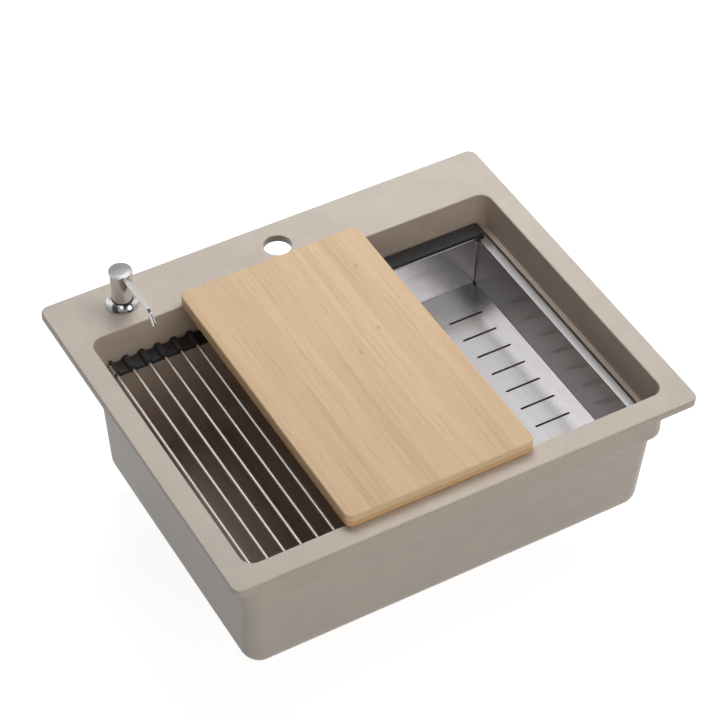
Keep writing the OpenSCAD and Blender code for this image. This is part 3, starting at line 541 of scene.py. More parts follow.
def toned(colour: tuple, share: object, plus: float = 0.0) -> tuple:
    """Colour times a share, one for all its parts or one for each, plus a step, held below 1."""
    return (*np.minimum(np.array(colour[:3]) * share + plus, 1.0).tolist(), 1.0)


class Effect:
    """A shared node group, built once and placed in each material with its own values."""

    made: dict[str, bpy.types.NodeTree] = {}

    def __init__(self, name: str, inputs: dict[str, float], outputs: tuple[str, ...]) -> None:
        """Opens a new group.

        Args:
            name: Name of the group.
            inputs: Default of each number input.
            outputs: Names of the number outputs.
        """
        self.group = bpy.data.node_groups.new(name, "ShaderNodeTree")
        self.group.interface.new_socket("Place", in_out="INPUT", socket_type="NodeSocketVector")
        for key, value in inputs.items():
            socket = self.group.interface.new_socket(key, in_out="INPUT", socket_type="NodeSocketFloat")
            socket.default_value = value
        for key in outputs:
            self.group.interface.new_socket(key, in_out="OUTPUT", socket_type="NodeSocketFloat")
        self.tree = Tree(self.group)
        self.source = self.group.nodes.new("NodeGroupInput")
        self.sink = self.group.nodes.new("NodeGroupOutput")
        Effect.made[name] = self.group

    def give(self, name: str, value: Socket) -> None:
        """Wires a result to an output."""
        self.group.links.new(value, self.sink.inputs[name])

    def read(self, name: str) -> Socket:
        """Socket of an input."""
        return self.source.outputs[name]


def speckle_effect() -> None:
    """Grains of crushed quartz in a resin: fine light and dark specks on slow clouds."""
    e = Effect("stone_speckle", {"Grain": 900.0, "Cloud": 26.0}, ("Light", "Dark", "Clouds", "Height"))
    t, place, grain = e.tree, e.read("Place"), e.read("Grain")
    fine = t.noise(place, grain, 3.0, 0.65)
    cells = t.lay("TexVoronoi", {"Vector": place, "Scale": grain}, feature="F1").outputs
    shade = t.lay("SeparateColor", {"Color": cells["Color"]}).outputs[0]
    e.give("Light", t.math("MULTIPLY", t.scaled(shade, 0.80, 1.0), t.scaled(fine, 0.45, 0.7)))
    e.give("Dark", t.math("MULTIPLY", t.scaled(shade, 0.22, 0.0), t.scaled(fine, 0.6, 0.35)))
    e.give("Clouds", t.scaled(t.noise(place, e.read("Cloud"), 5.0, 0.6, 0.4), 0.3, 0.7))
    e.give("Height", t.math("ADD", fine, t.math("MULTIPLY", cells["Distance"], 0.35)))


def brushing_effect() -> None:
    """Fine scratches that run along the long direction of a stretched place."""
    e = Effect("brushed_lines", {"Fineness": 1.0}, ("Lines", "Streaks"))
    t = e.tree
    wires = {0: e.read("Place"), "Scale": e.read("Fineness")}
    place = t.lay("VectorMath", wires, operation="SCALE").outputs[0]
    e.give("Lines", t.scaled(t.noise(place, 1.0, 4.0, 0.7), 0.3, 0.7))
    e.give("Streaks", t.scaled(t.noise(place, 0.13), 0.3, 0.7))


def handling_effect() -> None:
    """Faint smears and dust that handling leaves on a smooth surface."""
    e = Effect("handling_marks", {"Size": 40.0}, ("Smears", "Dust"))
    t, place = e.tree, e.read("Place")
    e.give("Smears", t.scaled(t.noise(place, e.read("Size"), 4.0, 0.6, 1.2), 0.35, 0.7))
    e.give("Dust", t.scaled(t.noise(place, 1500.0, 2.0, 0.6), 0.56, 0.75))


class Paint:
    """A material being laid out around one shader."""

    def __init__(self, name: str, **plain: object) -> None:
        """Opens a material and sets the shader's plain values.

        Args:
            name: Name of the material.
            plain: Value of each shader socket, with _ for a space.
        """
        self.material = bpy.data.materials.new(name)
        self.material.use_nodes = True
        self.tree = Tree(self.material.node_tree)
        self.material.node_tree.nodes.clear()
        wires = {key.replace("_", " "): value for key, value in plain.items()}
        self.shader = self.tree.lay("BsdfPrincipled", wires)
        self.tree.lay("OutputMaterial", {"Surface": self.shader.outputs[0]})
        self.place = self.tree.lay("TexCoord").outputs["Object"]

    def effect(self, name: str, place: Socket | None = None, **values: float) -> bpy.types.NodeOutputs:
        """Places a shared effect in the material.

        Args:
            name: Name of the group.
            place: Place that it reads, or none for the material's own.
            values: Value of each number input.

        Returns:
            Its outputs.
        """
        node = self.tree.lay("Group", node_tree=Effect.made[name])
        self.tree.tree.links.new(place or self.place, node.inputs["Place"])
        for key, value in values.items():
            node.inputs[key].default_value = value
        return node.outputs

    def wire(self, socket: str, value: Socket) -> None:
        """Wires a result to a socket of the shader."""
        self.tree.tree.links.new(value, self.shader.inputs[socket])

    def bump(self, height: Socket, depth: float, strength: float) -> None:
        """Raises the surface by a height, over a depth in millimetres."""
        wires = {"Height": height, "Distance": depth * MM, "Strength": strength}
        self.wire("Normal", self.tree.lay("Bump", wires).outputs[0])


@dataclass(frozen=True)
class StoneFinish:
    """Satin stone composite in a warm greige."""

    base: tuple = srgb(201, 191, 181)
    light: tuple = srgb(216, 208, 198)
    dark: tuple = srgb(160, 149, 138)
    cloud_shares: Pair = (0.94, 1.05)
    speck_shares: Pair = (0.55, 0.5)
    rough: Pair = (0.38, 0.44)
    depth: float = 0.05
    relief: float = 0.5
    # Painted shade in the bowl: inner tints the walls near the ledge, deep darkens them towards the floor.
    inner: tuple = (1.05, 1.0, 0.965, 1.0)
    deep: tuple = (0.92, 0.855, 0.83, 1.0)
    middle: float = -24.25
    half: Pair = (271.0, 198.5)
    levels: Pair = (-110.0, -40.0)
    mouth: Pair = (9.5, 7.0)

    def painted_bowl_shade(self, t: Tree, place: Socket, colour: Socket) -> Socket:
        """Paints shade inside the bowl: faces that look towards the middle of the bowl get browner and darker
        towards the floor.

        A face looks that way where (place - core) . normal < 0.

        Args:
            t: Tree of the material.
            place: Place on the shell.
            colour: Colour so far.

        Returns:
            The colour with the painted shade.
        """
        deep, high = (level * MM for level in self.levels)
        part = t.parts(place)
        across = t.math("LESS_THAN", t.math("ABSOLUTE", part["X"]), self.half[0] * MM)
        forward = t.math("SUBTRACT", part["Y"], self.middle * MM)
        along = t.math("LESS_THAN", t.math("ABSOLUTE", forward), self.half[1] * MM)
        under = t.scaled(part["Z"], self.mouth[0] * MM, self.mouth[1] * MM)
        away = t.vector("SUBTRACT", place, (0.0, self.middle * MM, deep))
        out = t.vector("DOT_PRODUCT", away, t.lay("NewGeometry").outputs["Normal"])
        facing = t.math("MULTIPLY", t.math("LESS_THAN", out, 0.0), under)
        mask = t.math("MULTIPLY", t.math("MULTIPLY", across, along), facing)
        tone = t.tint(t.scaled(part["Z"], high, deep), self.inner, self.deep)
        return t.tint(mask, colour, t.tint(1.0, colour, tone, "MULTIPLY"))

    def material(self) -> bpy.types.Material:
        """Builds the material."""
        p = Paint("stone_composite", Specular_IOR_Level=0.5)
        t = p.tree
        speckle = p.effect("stone_speckle", Grain=820.0, Cloud=22.0)
        darker, lighter = (toned(self.base, share) for share in self.cloud_shares)
        colour = t.tint(speckle["Clouds"], darker, lighter)
        for name, share, speck in zip(("Light", "Dark"), self.speck_shares, (self.light, self.dark)):
            colour = t.tint(t.math("MULTIPLY", speckle[name], share), colour, speck)
        # The inside of the bowl gets painted shade.
        p.wire("Base Color", self.painted_bowl_shade(t, p.place, colour))
        p.wire("Roughness", t.scaled(speckle["Clouds"], 0.0, 1.0, *self.rough))
        p.bump(speckle["Height"], self.depth, self.relief)
        return p.material


@dataclass(frozen=True)
class WoodFinish:
    """Oiled pale wood in glued staves with grain along y."""

    base: tuple = srgb(219, 191, 157)
    # Colour of the sides, lighter than the top: painted light.
    edge: tuple = srgb(249, 220, 180)
    mark: tuple = srgb(150, 112, 78)
    warm_shares: Triple = (0.96, 0.84, 0.68)
    seam_shares: Triple = (0.70, 0.62, 0.52)
    late_shares: Triple = (0.80, 0.74, 0.66)
    pale_shares: Triple = (1.05, 1.06, 1.08)
    pore_share: float = 0.6
    seam_z: float = 16.8
    seam_half: Pair = (0.3, 0.9)
    seam_step: float = 0.4
    left: float = -148.5
    right: float = 91.5
    high: float = 26.0
    staves: tuple = (-119.0, -88.5, -54.0, -30.0, -3.0, 34.5, 60.0)
    tones: tuple = (1.0, 0.955, 1.01, 0.965, 1.0, 1.02, 0.96, 1.0)
    tone_top: float = 1.1
    shift_step: Pair = (0.13, 0.61)
    shift_run: Pair = (3.7, 11.3)
    growth: Triple = (150.0, 5.0, 150.0)
    fine: Triple = (620.0, 14.0, 620.0)
    pores: Triple = (1500.0, 70.0, 1500.0)
    fleck: Triple = (160.0, 60.0, 700.0)
    knots: tuple = ((56.2, 117.7), (-10.5, -12.0), (27.4, 13.7))
    knot_shape: Triple = (1.0, 0.3, 0.2)
    knot_r: Pair = (0.4, 2.0)
    knot_strength: float = 0.45
    rough: Pair = (0.42, 0.56)
    depth: float = 0.04
    relief: float = 0.5

    def knot(self, t: Tree, place: Socket, colour: Socket, x: float, y: float) -> Socket:
        """Adds a small long brown mark, which fades with the stretched distance from its place.

        Args:
            t: Tree of the material.
            place: Place on the board.
            colour: Colour so far.
            x: Place of the mark to the right.
            y: Place of the mark to the back.

        Returns:
            The marked colour.
        """
        away = t.vector("SUBTRACT", place, (x * MM, y * MM, self.high * MM))
        far = t.vector("LENGTH", t.stretched(away, self.knot_shape))
        near, end = (r * MM for r in self.knot_r)
        return t.tint(t.scaled(far, near, end, self.knot_strength, 0.0), colour, self.mark)

    def painted_side_light(self, t: Tree, place: Socket, colour: Socket, fine: Socket) -> Socket:
        """Paints light on the sides: lighter than the top, paler above a thin seam and darker and warmer
        below it.

        Args:
            t: Tree of the material.
            place: Place on the board.
            colour: Colour of the top.
            fine: Fine grain.

        Returns:
            The colour of all faces.
        """
        facing = t.math("ABSOLUTE", t.parts(t.lay("NewGeometry").outputs["Normal"])["Z"])
        z = t.parts(place)["Z"]
        warm, seam = toned(self.edge, self.warm_shares), toned(self.edge, self.seam_shares)
        low, high = (self.seam_z - self.seam_step) * MM, (self.seam_z + self.seam_step) * MM
        layer = t.tint(t.scaled(z, low, high, 1.0, 0.0), self.edge, warm)
        off = t.math("ABSOLUTE", t.math("SUBTRACT", z, self.seam_z * MM))
        near, end = (half * MM for half in self.seam_half)
        layer = t.tint(t.scaled(off, near, end, 0.75, 0.0), layer, seam)
        layer = t.tint(t.scaled(fine, 0.45, 0.75, 0.0, 0.35), layer, seam)
        return t.tint(t.scaled(facing, 0.9, 0.4), colour, layer)

    def stave_values(self, t: Tree, place: Socket) -> tuple[Socket, Socket]:
        """Tells the staves apart.

        Args:
            t: Tree of the material.
            place: Place on the board.

        Returns:
            Tone of each stave, and the place moved by a step of its own in each.
        """
        width = self.right - self.left
        across = t.scaled(t.parts(place)["X"], self.left * MM, self.right * MM)
        at = [0.0] + [(edge - self.left) / width for edge in self.staves]
        tone = t.ramp(across, [(a, tone / self.tone_top) for a, tone in zip(at, self.tones)], True)
        first, step = self.shift_step
        shift = t.ramp(across, [(a, (first + step * k) % 1.0) for k, a in enumerate(at)], True)
        run_x, run_y = (t.math("MULTIPLY", shift, run) for run in self.shift_run)
        move = t.lay("CombineXYZ", {0: run_x, 1: run_y, 2: 0.0}).outputs[0]
        return tone, t.vector("ADD", place, move)

    def material(self) -> bpy.types.Material:
        """Builds the material: each stave has its own tone and its own piece of grain."""
        p = Paint("staved_wood", Specular_IOR_Level=0.35)
        t = p.tree
        tone, own = self.stave_values(t, p.place)
        growth = t.noise(t.stretched(own, self.growth), 1.0, 3.0, 0.6, 0.8)
        fine = t.noise(t.stretched(own, self.fine), 1.0, 4.0, 0.65)
        pores = t.noise(t.stretched(own, self.pores), 1.0, 2.0, 0.6)
        fleck = t.noise(t.stretched(own, self.fleck), 1.0, 2.0, 0.55)
        late, pale = toned(self.base, self.late_shares), toned(self.base, self.pale_shares)
        colour = t.tint(t.scaled(growth, 0.34, 0.62), pale, self.base)
        layers = ((growth, 0.50, 0.72, 0.42, late), (fine, 0.48, 0.74, 0.36, late),
                  (pores, 0.58, 0.78, 0.34, toned(late, self.pore_share)), (fleck, 0.60, 0.74, 0.25, pale))
        for grain, low, high, strength, shade in layers:
            colour = t.tint(t.scaled(grain, low, high, 0.0, strength), colour, shade)
        colour = t.tint(1.0, t.tint(1.0, colour, tone, "MULTIPLY"), grey(self.tone_top), "MULTIPLY")
        for x, y in self.knots:
            colour = self.knot(t, p.place, colour, x, y)
        # The sides carry painted light.
        p.wire("Base Color", self.painted_side_light(t, p.place, colour, fine))
        p.wire("Roughness", t.scaled(fine, 0.3, 0.7, *self.rough))
        p.bump(t.math("ADD", fine, t.math("MULTIPLY", pores, -0.8)), self.depth, self.relief)
        return p.material


@dataclass(frozen=True)
class MouldedFinish:
    """Moulded rubber or plastic in one dark colour."""

    name: str
    colour: tuple
    rough: float
    grain: float
    depth: float = 0.02
    relief: float = 0.6
    rough_step: float = 0.1

    def material(self) -> bpy.types.Material:
        """Builds the material: a fine moulded texture with slightly lighter handled places."""
        p = Paint(self.name, Specular_IOR_Level=0.5)
        t = p.tree
        marks = p.effect("handling_marks", Size=60.0)
        worn, dusty = toned(self.colour, 1.35, 0.004), toned(self.colour, 1.0, 0.05)
        colour = t.tint(t.math("MULTIPLY", marks["Smears"], 0.5), self.colour, worn)
        p.wire("Base Color", t.tint(t.math("MULTIPLY", marks["Dust"], 0.3), colour, dusty))
        p.wire("Roughness", t.scaled(marks["Smears"], 0.0, 1.0, self.rough, self.rough + self.rough_step))
        p.bump(t.noise(p.place, self.grain), self.depth, self.relief)
        return p.material


@dataclass(frozen=True)
class SteelFinish:
    """Stainless steel with brushed or drawn lines along one direction."""

    name: str
    colour: tuple
    rough: Pair
    stretch: Triple
    depth: float = 0.0015
    relief: float = 0.25

    def material(self) -> bpy.types.Material:
        """Builds the material: lines change the roughness, the tone and the bump."""
        p = Paint(self.name, Metallic=1.0)
        t = p.tree
        lines = p.effect("brushed_lines", t.stretched(p.place, self.stretch))
        marks = p.effect("handling_marks", Size=24.0)
        p.wire("Base Color", t.tint(lines["Streaks"], toned(self.colour, 0.95), self.colour))
        rough = t.scaled(lines["Lines"], 0.0, 1.0, *self.rough)
        p.wire("Roughness", t.math("ADD", rough, t.math("MULTIPLY", marks["Smears"], 0.02)))
        p.bump(lines["Lines"], self.depth, self.relief)
        return p.material


@dataclass(frozen=True)
class MilkyFinish:
    """Milky plastic of the bottle and its tube, which lets some light through."""

    smeared: tuple = srgb(236, 238, 239)
    clean: tuple = srgb(240, 242, 243)
    rough: Pair = (0.30, 0.34)

    def material(self) -> bpy.types.Material:
        """Builds the material: a scattering body under a smooth skin."""
        p = Paint("milky_plastic", Transmission_Weight=0.2, IOR=1.45)
        smears = p.effect("handling_marks", Size=30.0)["Smears"]
        p.wire("Base Color", p.tree.tint(smears, self.smeared, self.clean))
        p.wire("Roughness", p.tree.scaled(smears, 0.0, 1.0, *self.rough))
        return p.material


class Finishes:
    """All coats of the sink, built once."""

    def __init__(self) -> None:
        """Builds the shared effects, then the materials."""
        for effect in (speckle_effect, brushing_effect, handling_effect):
            effect()
        rubber = MouldedFinish("soft_rubber", srgb(50, 50, 52), 0.45, 900.0)
        gasket = MouldedFinish("gasket_rubber", srgb(46, 46, 48), 0.6, 1200.0)
        rail = MouldedFinish("rail_plastic", srgb(50, 51, 52), 0.42, 1800.0, 0.012)
        dark = MouldedFinish("dark_plastic", srgb(52, 52, 55), 0.4, 1500.0)
        tray = SteelFinish("brushed_tray", srgb(208, 206, 207), (0.19, 0.23), (1100.0, 25.0, 1100.0), 0.001,
                           0.08)
        rod = SteelFinish("drawn_rod", srgb(236, 234, 233), (0.26, 0.32), (1400.0, 30.0, 1400.0))
        fitting = SteelFinish("spun_steel", srgb(212, 211, 209), (0.18, 0.28), (300.0, 300.0, 1600.0))
        plain = SteelFinish("plain_steel", srgb(196, 195, 193), (0.25, 0.35), (900.0, 900.0, 900.0))
        chrome = SteelFinish("satin_chrome", srgb(226, 225, 224), (0.13, 0.15), (30.0, 30.0, 60.0), 0.0, 0.0)
        self.stone = Coat("stone", StoneFinish().material())
        self.wood = Coat("board_wood", WoodFinish().material())
        self.rubber = Coat("rubber", rubber.material())
        self.gasket = Coat("rubber", gasket.material())
        self.rail = Coat("rail_plastic", rail.material())
        self.dark = Coat("dark_plastic", dark.material())
        self.tray = Coat("tray_steel", tray.material())
        self.rod = Coat("rod_steel", rod.material())
        self.fitting = Coat("fitting_steel", fitting.material())
        self.plain = Coat("plain_steel", plain.material())
        self.chrome = Coat("chrome", chrome.material())
        self.milky = Coat("clear_plastic", MilkyFinish().material())


@dataclass
class Assembly:
    """A sub-assembly of the sink, with the coats that its pieces wear."""

    finishes: Finishes


# Stone shell


@dataclass
class StoneShell(Assembly):
    """Moulded shell: rim, deck, mouth, ledge, bowl and the thick belt outside."""

    rim: Plan = Plan(-297.5, 297.5, -250.0, 250.0, 12.0)
    mouth: Plan = Plan(-268.7, 268.7, -220.0, 171.5, 15.0)
    bowl: Plan = Plan(-261.4, 261.4, -212.7, 164.2, 12.0)
    foot: Plan = Plan(-257.4, 257.4, -203.7, 158.7, 17.5)
    top: float = 10.0
    ledge: float = -40.0
    depth: float = 194.0
    lean: float = 1.3
    wall: float = 6.5
    rim_edge: float = 2.5
    rim_foot_edge: float = 0.625
    mouth_edge: float = 2.0
    mouth_levels: Triple = (6.0, -10.0, -30.0)
    ledge_edge: float = 1.2
    belt_levels: Triple = (0.0, -20.0, -40.0)
    belt_foot: float = -60.0
    belt_edge: float = 5.0
    heel: tuple = ((1.0, 0.0), (0.3, 0.3))
    lower_levels: Triple = (-61.2, -90.0, -125.0)
    straight: float = -41.0
    foot_z: float = -166.5
    floor_edge: float = 15.5
    floor_t: float = 8.0
    middle: float = -24.25
    seat_r: float = 58.0
    seat_z: float = -187.0
    seat_lip: tuple = ((1.0, 0.0), (0.3, 0.1), (0.0, 0.5))
    waste_r: float = 45.0
    holes: tuple = ((0.0, 210.5, 17.5, 0.0), (-206.5, 210.5, 17.5, 24.0))
    hole_edge: float = 0.7
    spot_depth: float = 0.5
    chamfer: float = 0.4
    overflow: Triple = (0.0, -20.0, 11.0)
    overflow_run: Pair = (165.0, 184.0)

    def mouth_at(self, z: float) -> Plan:
        """Outline of the leaning wall above the ledge, at a height."""
        return self.mouth.inset(self.lean * (self.top - z) / (self.top - self.ledge))

    def bottom(self, plan: Plan, e: float) -> list:
        """Rings of the round from a wall to its floor: in by e (1 - cos a), down by e sin a."""
        up, inwards = quarter(e, 9)
        return [(plan.inset(s), self.foot_z - (e - h)) for h, s in zip(up[1:], inwards[1:])]

    def inner_sections(self) -> list:
        """Rings from the rim's top flat down to the bowl's floor."""
        e = self.ledge_edge
        rows = edge_round(self.mouth, self.top, self.mouth_edge, opening=True)
        rows += [(self.mouth_at(z), z) for z in (*self.mouth_levels, self.ledge + e)]
        base = self.mouth_at(self.ledge)
        up, inwards = quarter(e, 3)
        rows += [(base.inset(s), self.ledge + h) for h, s in zip(up[1:], inwards[1:])]
        rows += [(base.blend(self.bowl.inset(-e), 0.5), self.ledge)]
        rows += edge_round(self.bowl, self.ledge, e, opening=True, steps=3)
        fall = self.foot_z - self.straight
        rows += [(self.bowl.blend(self.foot, t), self.straight + fall * t) for t in np.linspace(0.03, 1, 7)]
        return rows + self.bottom(self.foot, self.floor_edge)

    def rim_sections(self) -> list:
        """Rings from the rim's top flat round its side to its underside."""
        under = edge_round(self.rim, 0.0, self.rim_foot_edge, top=False, steps=3)
        return edge_round(self.rim, self.top, self.rim_edge) + under[::-1]

    def belt_sections(self) -> list:
        """Rings down the thick belt under the rim."""
        belt = self.mouth.inset(-self.wall)
        foot = edge_round(belt, self.belt_foot, self.belt_edge, top=False)
        return [(belt, z) for z in self.belt_levels] + foot[::-1]

    def lower_sections(self) -> list:
        """Rings of the lower wall outside, from the belt to the underside."""
        grown, foot = self.bowl.inset(-self.wall), self.foot.inset(-self.wall)
        fall = self.straight - self.foot_z
        heel = grown.blend(foot, (self.straight - self.belt_foot) / fall)
        rows = [(heel.inset(-out), self.belt_foot - down) for out, down in self.heel]
        levels = (*self.lower_levels, self.foot_z)
        rows += [(grown.blend(foot, (self.straight - z) / fall), z) for z in levels]
        return rows + self.bottom(foot, self.floor_edge + self.floor_t)

    def gathered(self, ring: np.ndarray, r: float, z: float) -> np.ndarray:
        """Ring whose points are moved along their radii to a circle: middle + r unit."""
        middle = np.array([0.0, self.middle])
        return np.column_stack([unit(ring[:, :2] - middle) * r + middle, np.full(len(ring), z)])

    def bore(self, draft: Draft, ring: np.ndarray, steps: list[Pair]) -> np.ndarray:
        """Draws a ring in to a circle round the waste and carries it on.

        Args:
            draft: Mesh in the making.
            ring: The last ring of the wall.
            steps: Radius and height of each circle.

        Returns:
            Points of the last circle.
        """
        rows = [self.gathered(ring, r, z) for r, z in steps]
        draft.grid(ring + (rows[0] - ring) * np.linspace(0, 1, 7)[:, None, None])
        draft.grid(np.stack(rows))
        return rows[-1]

    def hole(self, draft: Draft, x: float, y: float, r: float, spot: float) -> tuple[np.ndarray, np.ndarray]:
        """Adds a hole through the deck.

        Args:
            draft: Mesh in the making.
            x: Place to the right.
            y: Place to the back.
            r: Radius.
            spot: Radius of the spot face on the underside, or 0 for a chamfer.

        Returns:
            Its rings at the top and at the underside.
        """
        away, down = quarter(self.hole_edge, 4)
        if spot:
            foot = [[r, self.spot_depth], [spot, self.spot_depth], [spot, 0.0]]
        else:
            foot = [[r, self.chamfer], [r + self.chamfer, 0.0]]
        pipe = turned(np.vstack([np.column_stack([r + away, self.top - down]), foot]), (x, y, 0.0))
        draft.grid(pipe)
        return pipe[0], pipe[-1]

    def shell(self) -> Draft:
        """Builds the whole closed shell."""
        draft = Draft()
        inner, outer = rings(self.inner_sections()), rings(self.rim_sections())
        belt, lower = rings(self.belt_sections()), rings(self.lower_sections())
        for patch in (inner, outer, belt, np.stack([belt[-1], lower[0]]), lower):
            draft.grid(patch)
        floor = self.top - self.depth
        edge, waste, seat, cut = self.seat_r, self.waste_r, self.seat_z, self.chamfer
        steps = [(edge + out, floor - down) for out, down in self.seat_lip]
        steps += [(edge, seat), (waste + cut, seat), (waste, seat - cut)]
        disc = self.bore(draft, inner[-1], steps)
        low = floor - self.floor_t
        out = self.seat_lip[0][0]
        under = self.bore(draft, lower[-1], [(edge + out, low), (waste + cut, low), (waste, low + cut)])
        draft.grid(np.stack([disc, under]))
        tops, bottoms = zip(*(self.hole(draft, *place) for place in self.holes))
        draft.flat(outer[0], [inner[0], *tops])
        draft.flat(outer[-1], [belt[0], *bottoms])
        return draft

    def cut_overflow(self, obj: bpy.types.Object) -> None:
        """Cuts the overflow's hole through the back wall.

        Args:
            obj: The shell.
        """
        x, z, r = self.overflow
        y0, y1 = self.overflow_run
        tool = Draft()
        tool.grid(turned(np.array([[0, y0], [r, y0], [r, y1], [0, y1]]), (x, 0.0, z), Axis.Y, 64))
        cutter = bpy.data.objects.new("hole_tool", tool.mesh("hole_tool"))
        bpy.context.scene.collection.objects.link(cutter)
        cut = obj.modifiers.new("cut", "BOOLEAN")
        cut.object = cutter
        cut.solver = "EXACT"
        obj.modifiers.move(len(obj.modifiers) - 1, 0)
        view = obj.evaluated_get(bpy.context.evaluated_depsgraph_get())
        flat = bpy.data.meshes.new_from_object(view)
        obj.modifiers.remove(obj.modifiers["cut"])
        obj.data = flat
        bpy.data.objects.remove(cutter)

    def dress(self) -> None:
        """Places the shell."""
        piece = Piece("stone_shell", "sink", self.finishes.stone, "sink_basin", Shade.CRISP)
        self.cut_overflow(piece.build(self.shell()))


# Board


@dataclass
class CuttingBoard(Assembly):
    """Glued wooden board that lies across the rim."""

    plan: Plan = Plan(-148.5, 91.5, -227.3, 178.8, 10.0)
    low: float = 10.03
    high: float = 26.0
    top_edge: float = 2.0
    foot_edge: float = 1.0

    def dress(self) -> None:
        """Builds and places the board."""
        rows = edge_round(self.plan, self.high, self.top_edge)
        rows += edge_round(self.plan, self.low, self.foot_edge, top=False)[::-1]
        draft = Draft()
        draft.block(rings(rows))
        Piece("board_staves", "board", self.finishes.wood, "cutting_board").build(draft)


# Rack


@dataclass(frozen=True)
class Link:
    """A rubber link: its rod's place, its left and right end, and which of them run on."""

    x: float
    x0: float
    x1: float
    runs_on: tuple[bool, bool]


@dataclass
class RollRack(Assembly):
    """Steel rods held in rubber strips; the four left rods roll up link by link."""

    rods: int = 11
    loose: int = 4
    first: float = -247.0
    pitch: float = 20.9
    rod_r: float = 2.0
    rod_z: float = -35.8
    rod_edge: float = 0.5
    ledge: float = -40.0
    strip_t: float = 4.0
    strip_d: float = 20.0
    strip_edge: float = 0.6
    back: float = 168.4
    front: float = -216.9
    sleeve_r: float = 5.0
    sleeve_end: float = 1.0
    hub: float = 1.0
    nose_r: float = 3.2
    nose_l: float = 2.5
    nose_gap: float = 0.02
    nose_edges: Pair = (0.3, 0.7)
    fold: float = 0.3
    inset: float = 3.0
    fillet: float = 1.3

    def rod(self, draft: Draft, i: int) -> None:
        """Adds a drawn rod with rounded ends.

        Args:
            draft: Mesh in the making.
            i: Number of the rod.
        """
        y0, y1 = self.front + self.inset, self.back - self.inset
        r, e = self.rod_r, self.rod_edge
        outline = rounded([(0, y0, 0), (r, y0, e), (r, y1, e), (0, y1, 0)], 3)
        draft.grid(turned(outline, (self.first + i * self.pitch, 0, self.rod_z), Axis.Y, 24))

    def link_at(self, i: int) -> Link:
        """Places a link, without the outer half of the first and the last one.

        Args:
            i: Number of its rod.

        Returns:
            The link.
        """
        x, half, gap = self.first + i * self.pitch, self.pitch / 2, self.fold / 2
        x0 = x if i == 0 else x - half + (gap if i <= self.loose else 0)
        x1 = x if i == self.rods - 1 else x + half - (gap if i < self.loose else 0)
        return Link(x, x0, x1, (i > self.loose, self.loose <= i < self.rods - 1))

    def profile(self, link: Link, s: float) -> np.ndarray:
        """Cross-section of a link, drawn in by s: a flat strip with a dome over the rod.

        The dome is a circle round the rod; a fillet whose centre lies fillet above the strip
        and r + fillet from the rod's axis joins the two.

        Args:
            link: The link.
            s: Distance by which the section is drawn in.

        Returns:
            Array of points x 2, x and z.
        """
        r, top, q = self.sleeve_r - s, self.ledge + self.strip_t - s, self.fillet
        rise = top + q - self.rod_z
        run = math.sqrt((r + q) ** 2 - rise**2)
        meet = math.atan2(rise, run)
        dome = np.linspace(np.pi - meet, meet, 15)
        dome = np.column_stack([link.x + r * np.cos(dome), self.rod_z + r * np.sin(dome)])
        bend = np.linspace(0, 1, 5) * (np.pi / 2 - meet)
        start = np.column_stack([link.x - run + q * np.sin(bend), top + q - q * np.cos(bend)])
        end = np.column_stack([2 * link.x - start[::-1, 0], start[::-1, 1]])
        a = link.x0 + (0 if link.runs_on[0] else s)
        b = link.x1 - (0 if link.runs_on[1] else s)
        middle = np.vstack([start, dome, end])
        middle[:, 0] = np.clip(middle[:, 0], a, b)
        return np.vstack([[[a, self.ledge], [a, top]], middle, [[b, top], [b, self.ledge]]])

    def rubber(self, draft: Draft, link: Link, mirrored: bool) -> None:
        """Adds the rubber round a rod: the sleeve's end, the strip, its tip and its nose.

        The sleeve's end is the link's profile held within the circle round the rod.

        Args:
            draft: Mesh in the making.
            link: The link.
            mirrored: True for the front strip.
        """
        draw, slide = quarter(self.strip_edge, 3)
        tail, tip = self.back + self.sleeve_end, self.back - self.strip_d
        rows = []
        for s, y in zip(draw, tail - slide):
            x, z = self.profile(link, s).T
            half = np.sqrt(np.maximum((self.sleeve_r - s) ** 2 - (z - self.rod_z) ** 2, 0.0))
            rows.append((np.clip(x, link.x - half, link.x + half), y, z))
        rows.append((rows[-1][0], self.back, rows[-1][2]))
        foot = len(rows)
        for s, y in (*zip(draw, self.back - slide), *zip(draw[::-1], tip + slide[::-1])):
            x, z = self.profile(link, s).T
            rows.append((x, y, z))
        p = np.stack([np.column_stack([x, np.full(len(x), y), z]) for x, y, z in rows])
        hubs = np.array([[link.x, y, self.ledge + self.hub] for y in (tail, tip)])
        bore, r, end = self.rod_r + self.nose_gap, self.nose_r, self.nose_l
        inner, outer = self.nose_edges
        nose = rounded([(bore, 0, 0), (bore, end, inner), (r, end, outer), (r, 0, 0)], 3)
        nose = turned(nose * (1, -1), (link.x, tip, self.rod_z), Axis.Y, 28)
        if mirrored:
            for patch in (p, hubs, nose):
                patch[..., 1] = self.front + self.back - patch[..., 1]
        skip = np.zeros(p.shape[1], bool)
        skip[0], skip[-2] = link.runs_on
        draft.grid(p[:foot + 1])
        draft.grid(p[foot:], skip=skip)
        draft.fan(p[0], hubs[0])
        draft.fan(p[-1], hubs[1])
        draft.grid(np.concatenate([nose, nose[:1]]))

    def group(self, places: range, body: str, rod: tuple, strip: tuple) -> None:
        """Builds and places rods and the rubber at both of their ends.

        Args:
            places: Numbers of the rods.
            body: Body that carries them.
            rod: Name of the rods' piece and of their solid.
            strip: Name of the rubber's piece and of its solid, with SIDE for back or front.
        """
        draft = Draft()
        for i in places:
            self.rod(draft, i)
        Piece(rod[0], body, self.finishes.rod, rod[1]).build(draft)
        for side in ("back", "front"):
            draft = Draft()
            for i in places:
                self.rubber(draft, self.link_at(i), side == "front")
            name, node = (text.replace("SIDE", side) for text in strip)
            Piece(name, body, self.finishes.rubber, node).build(draft)

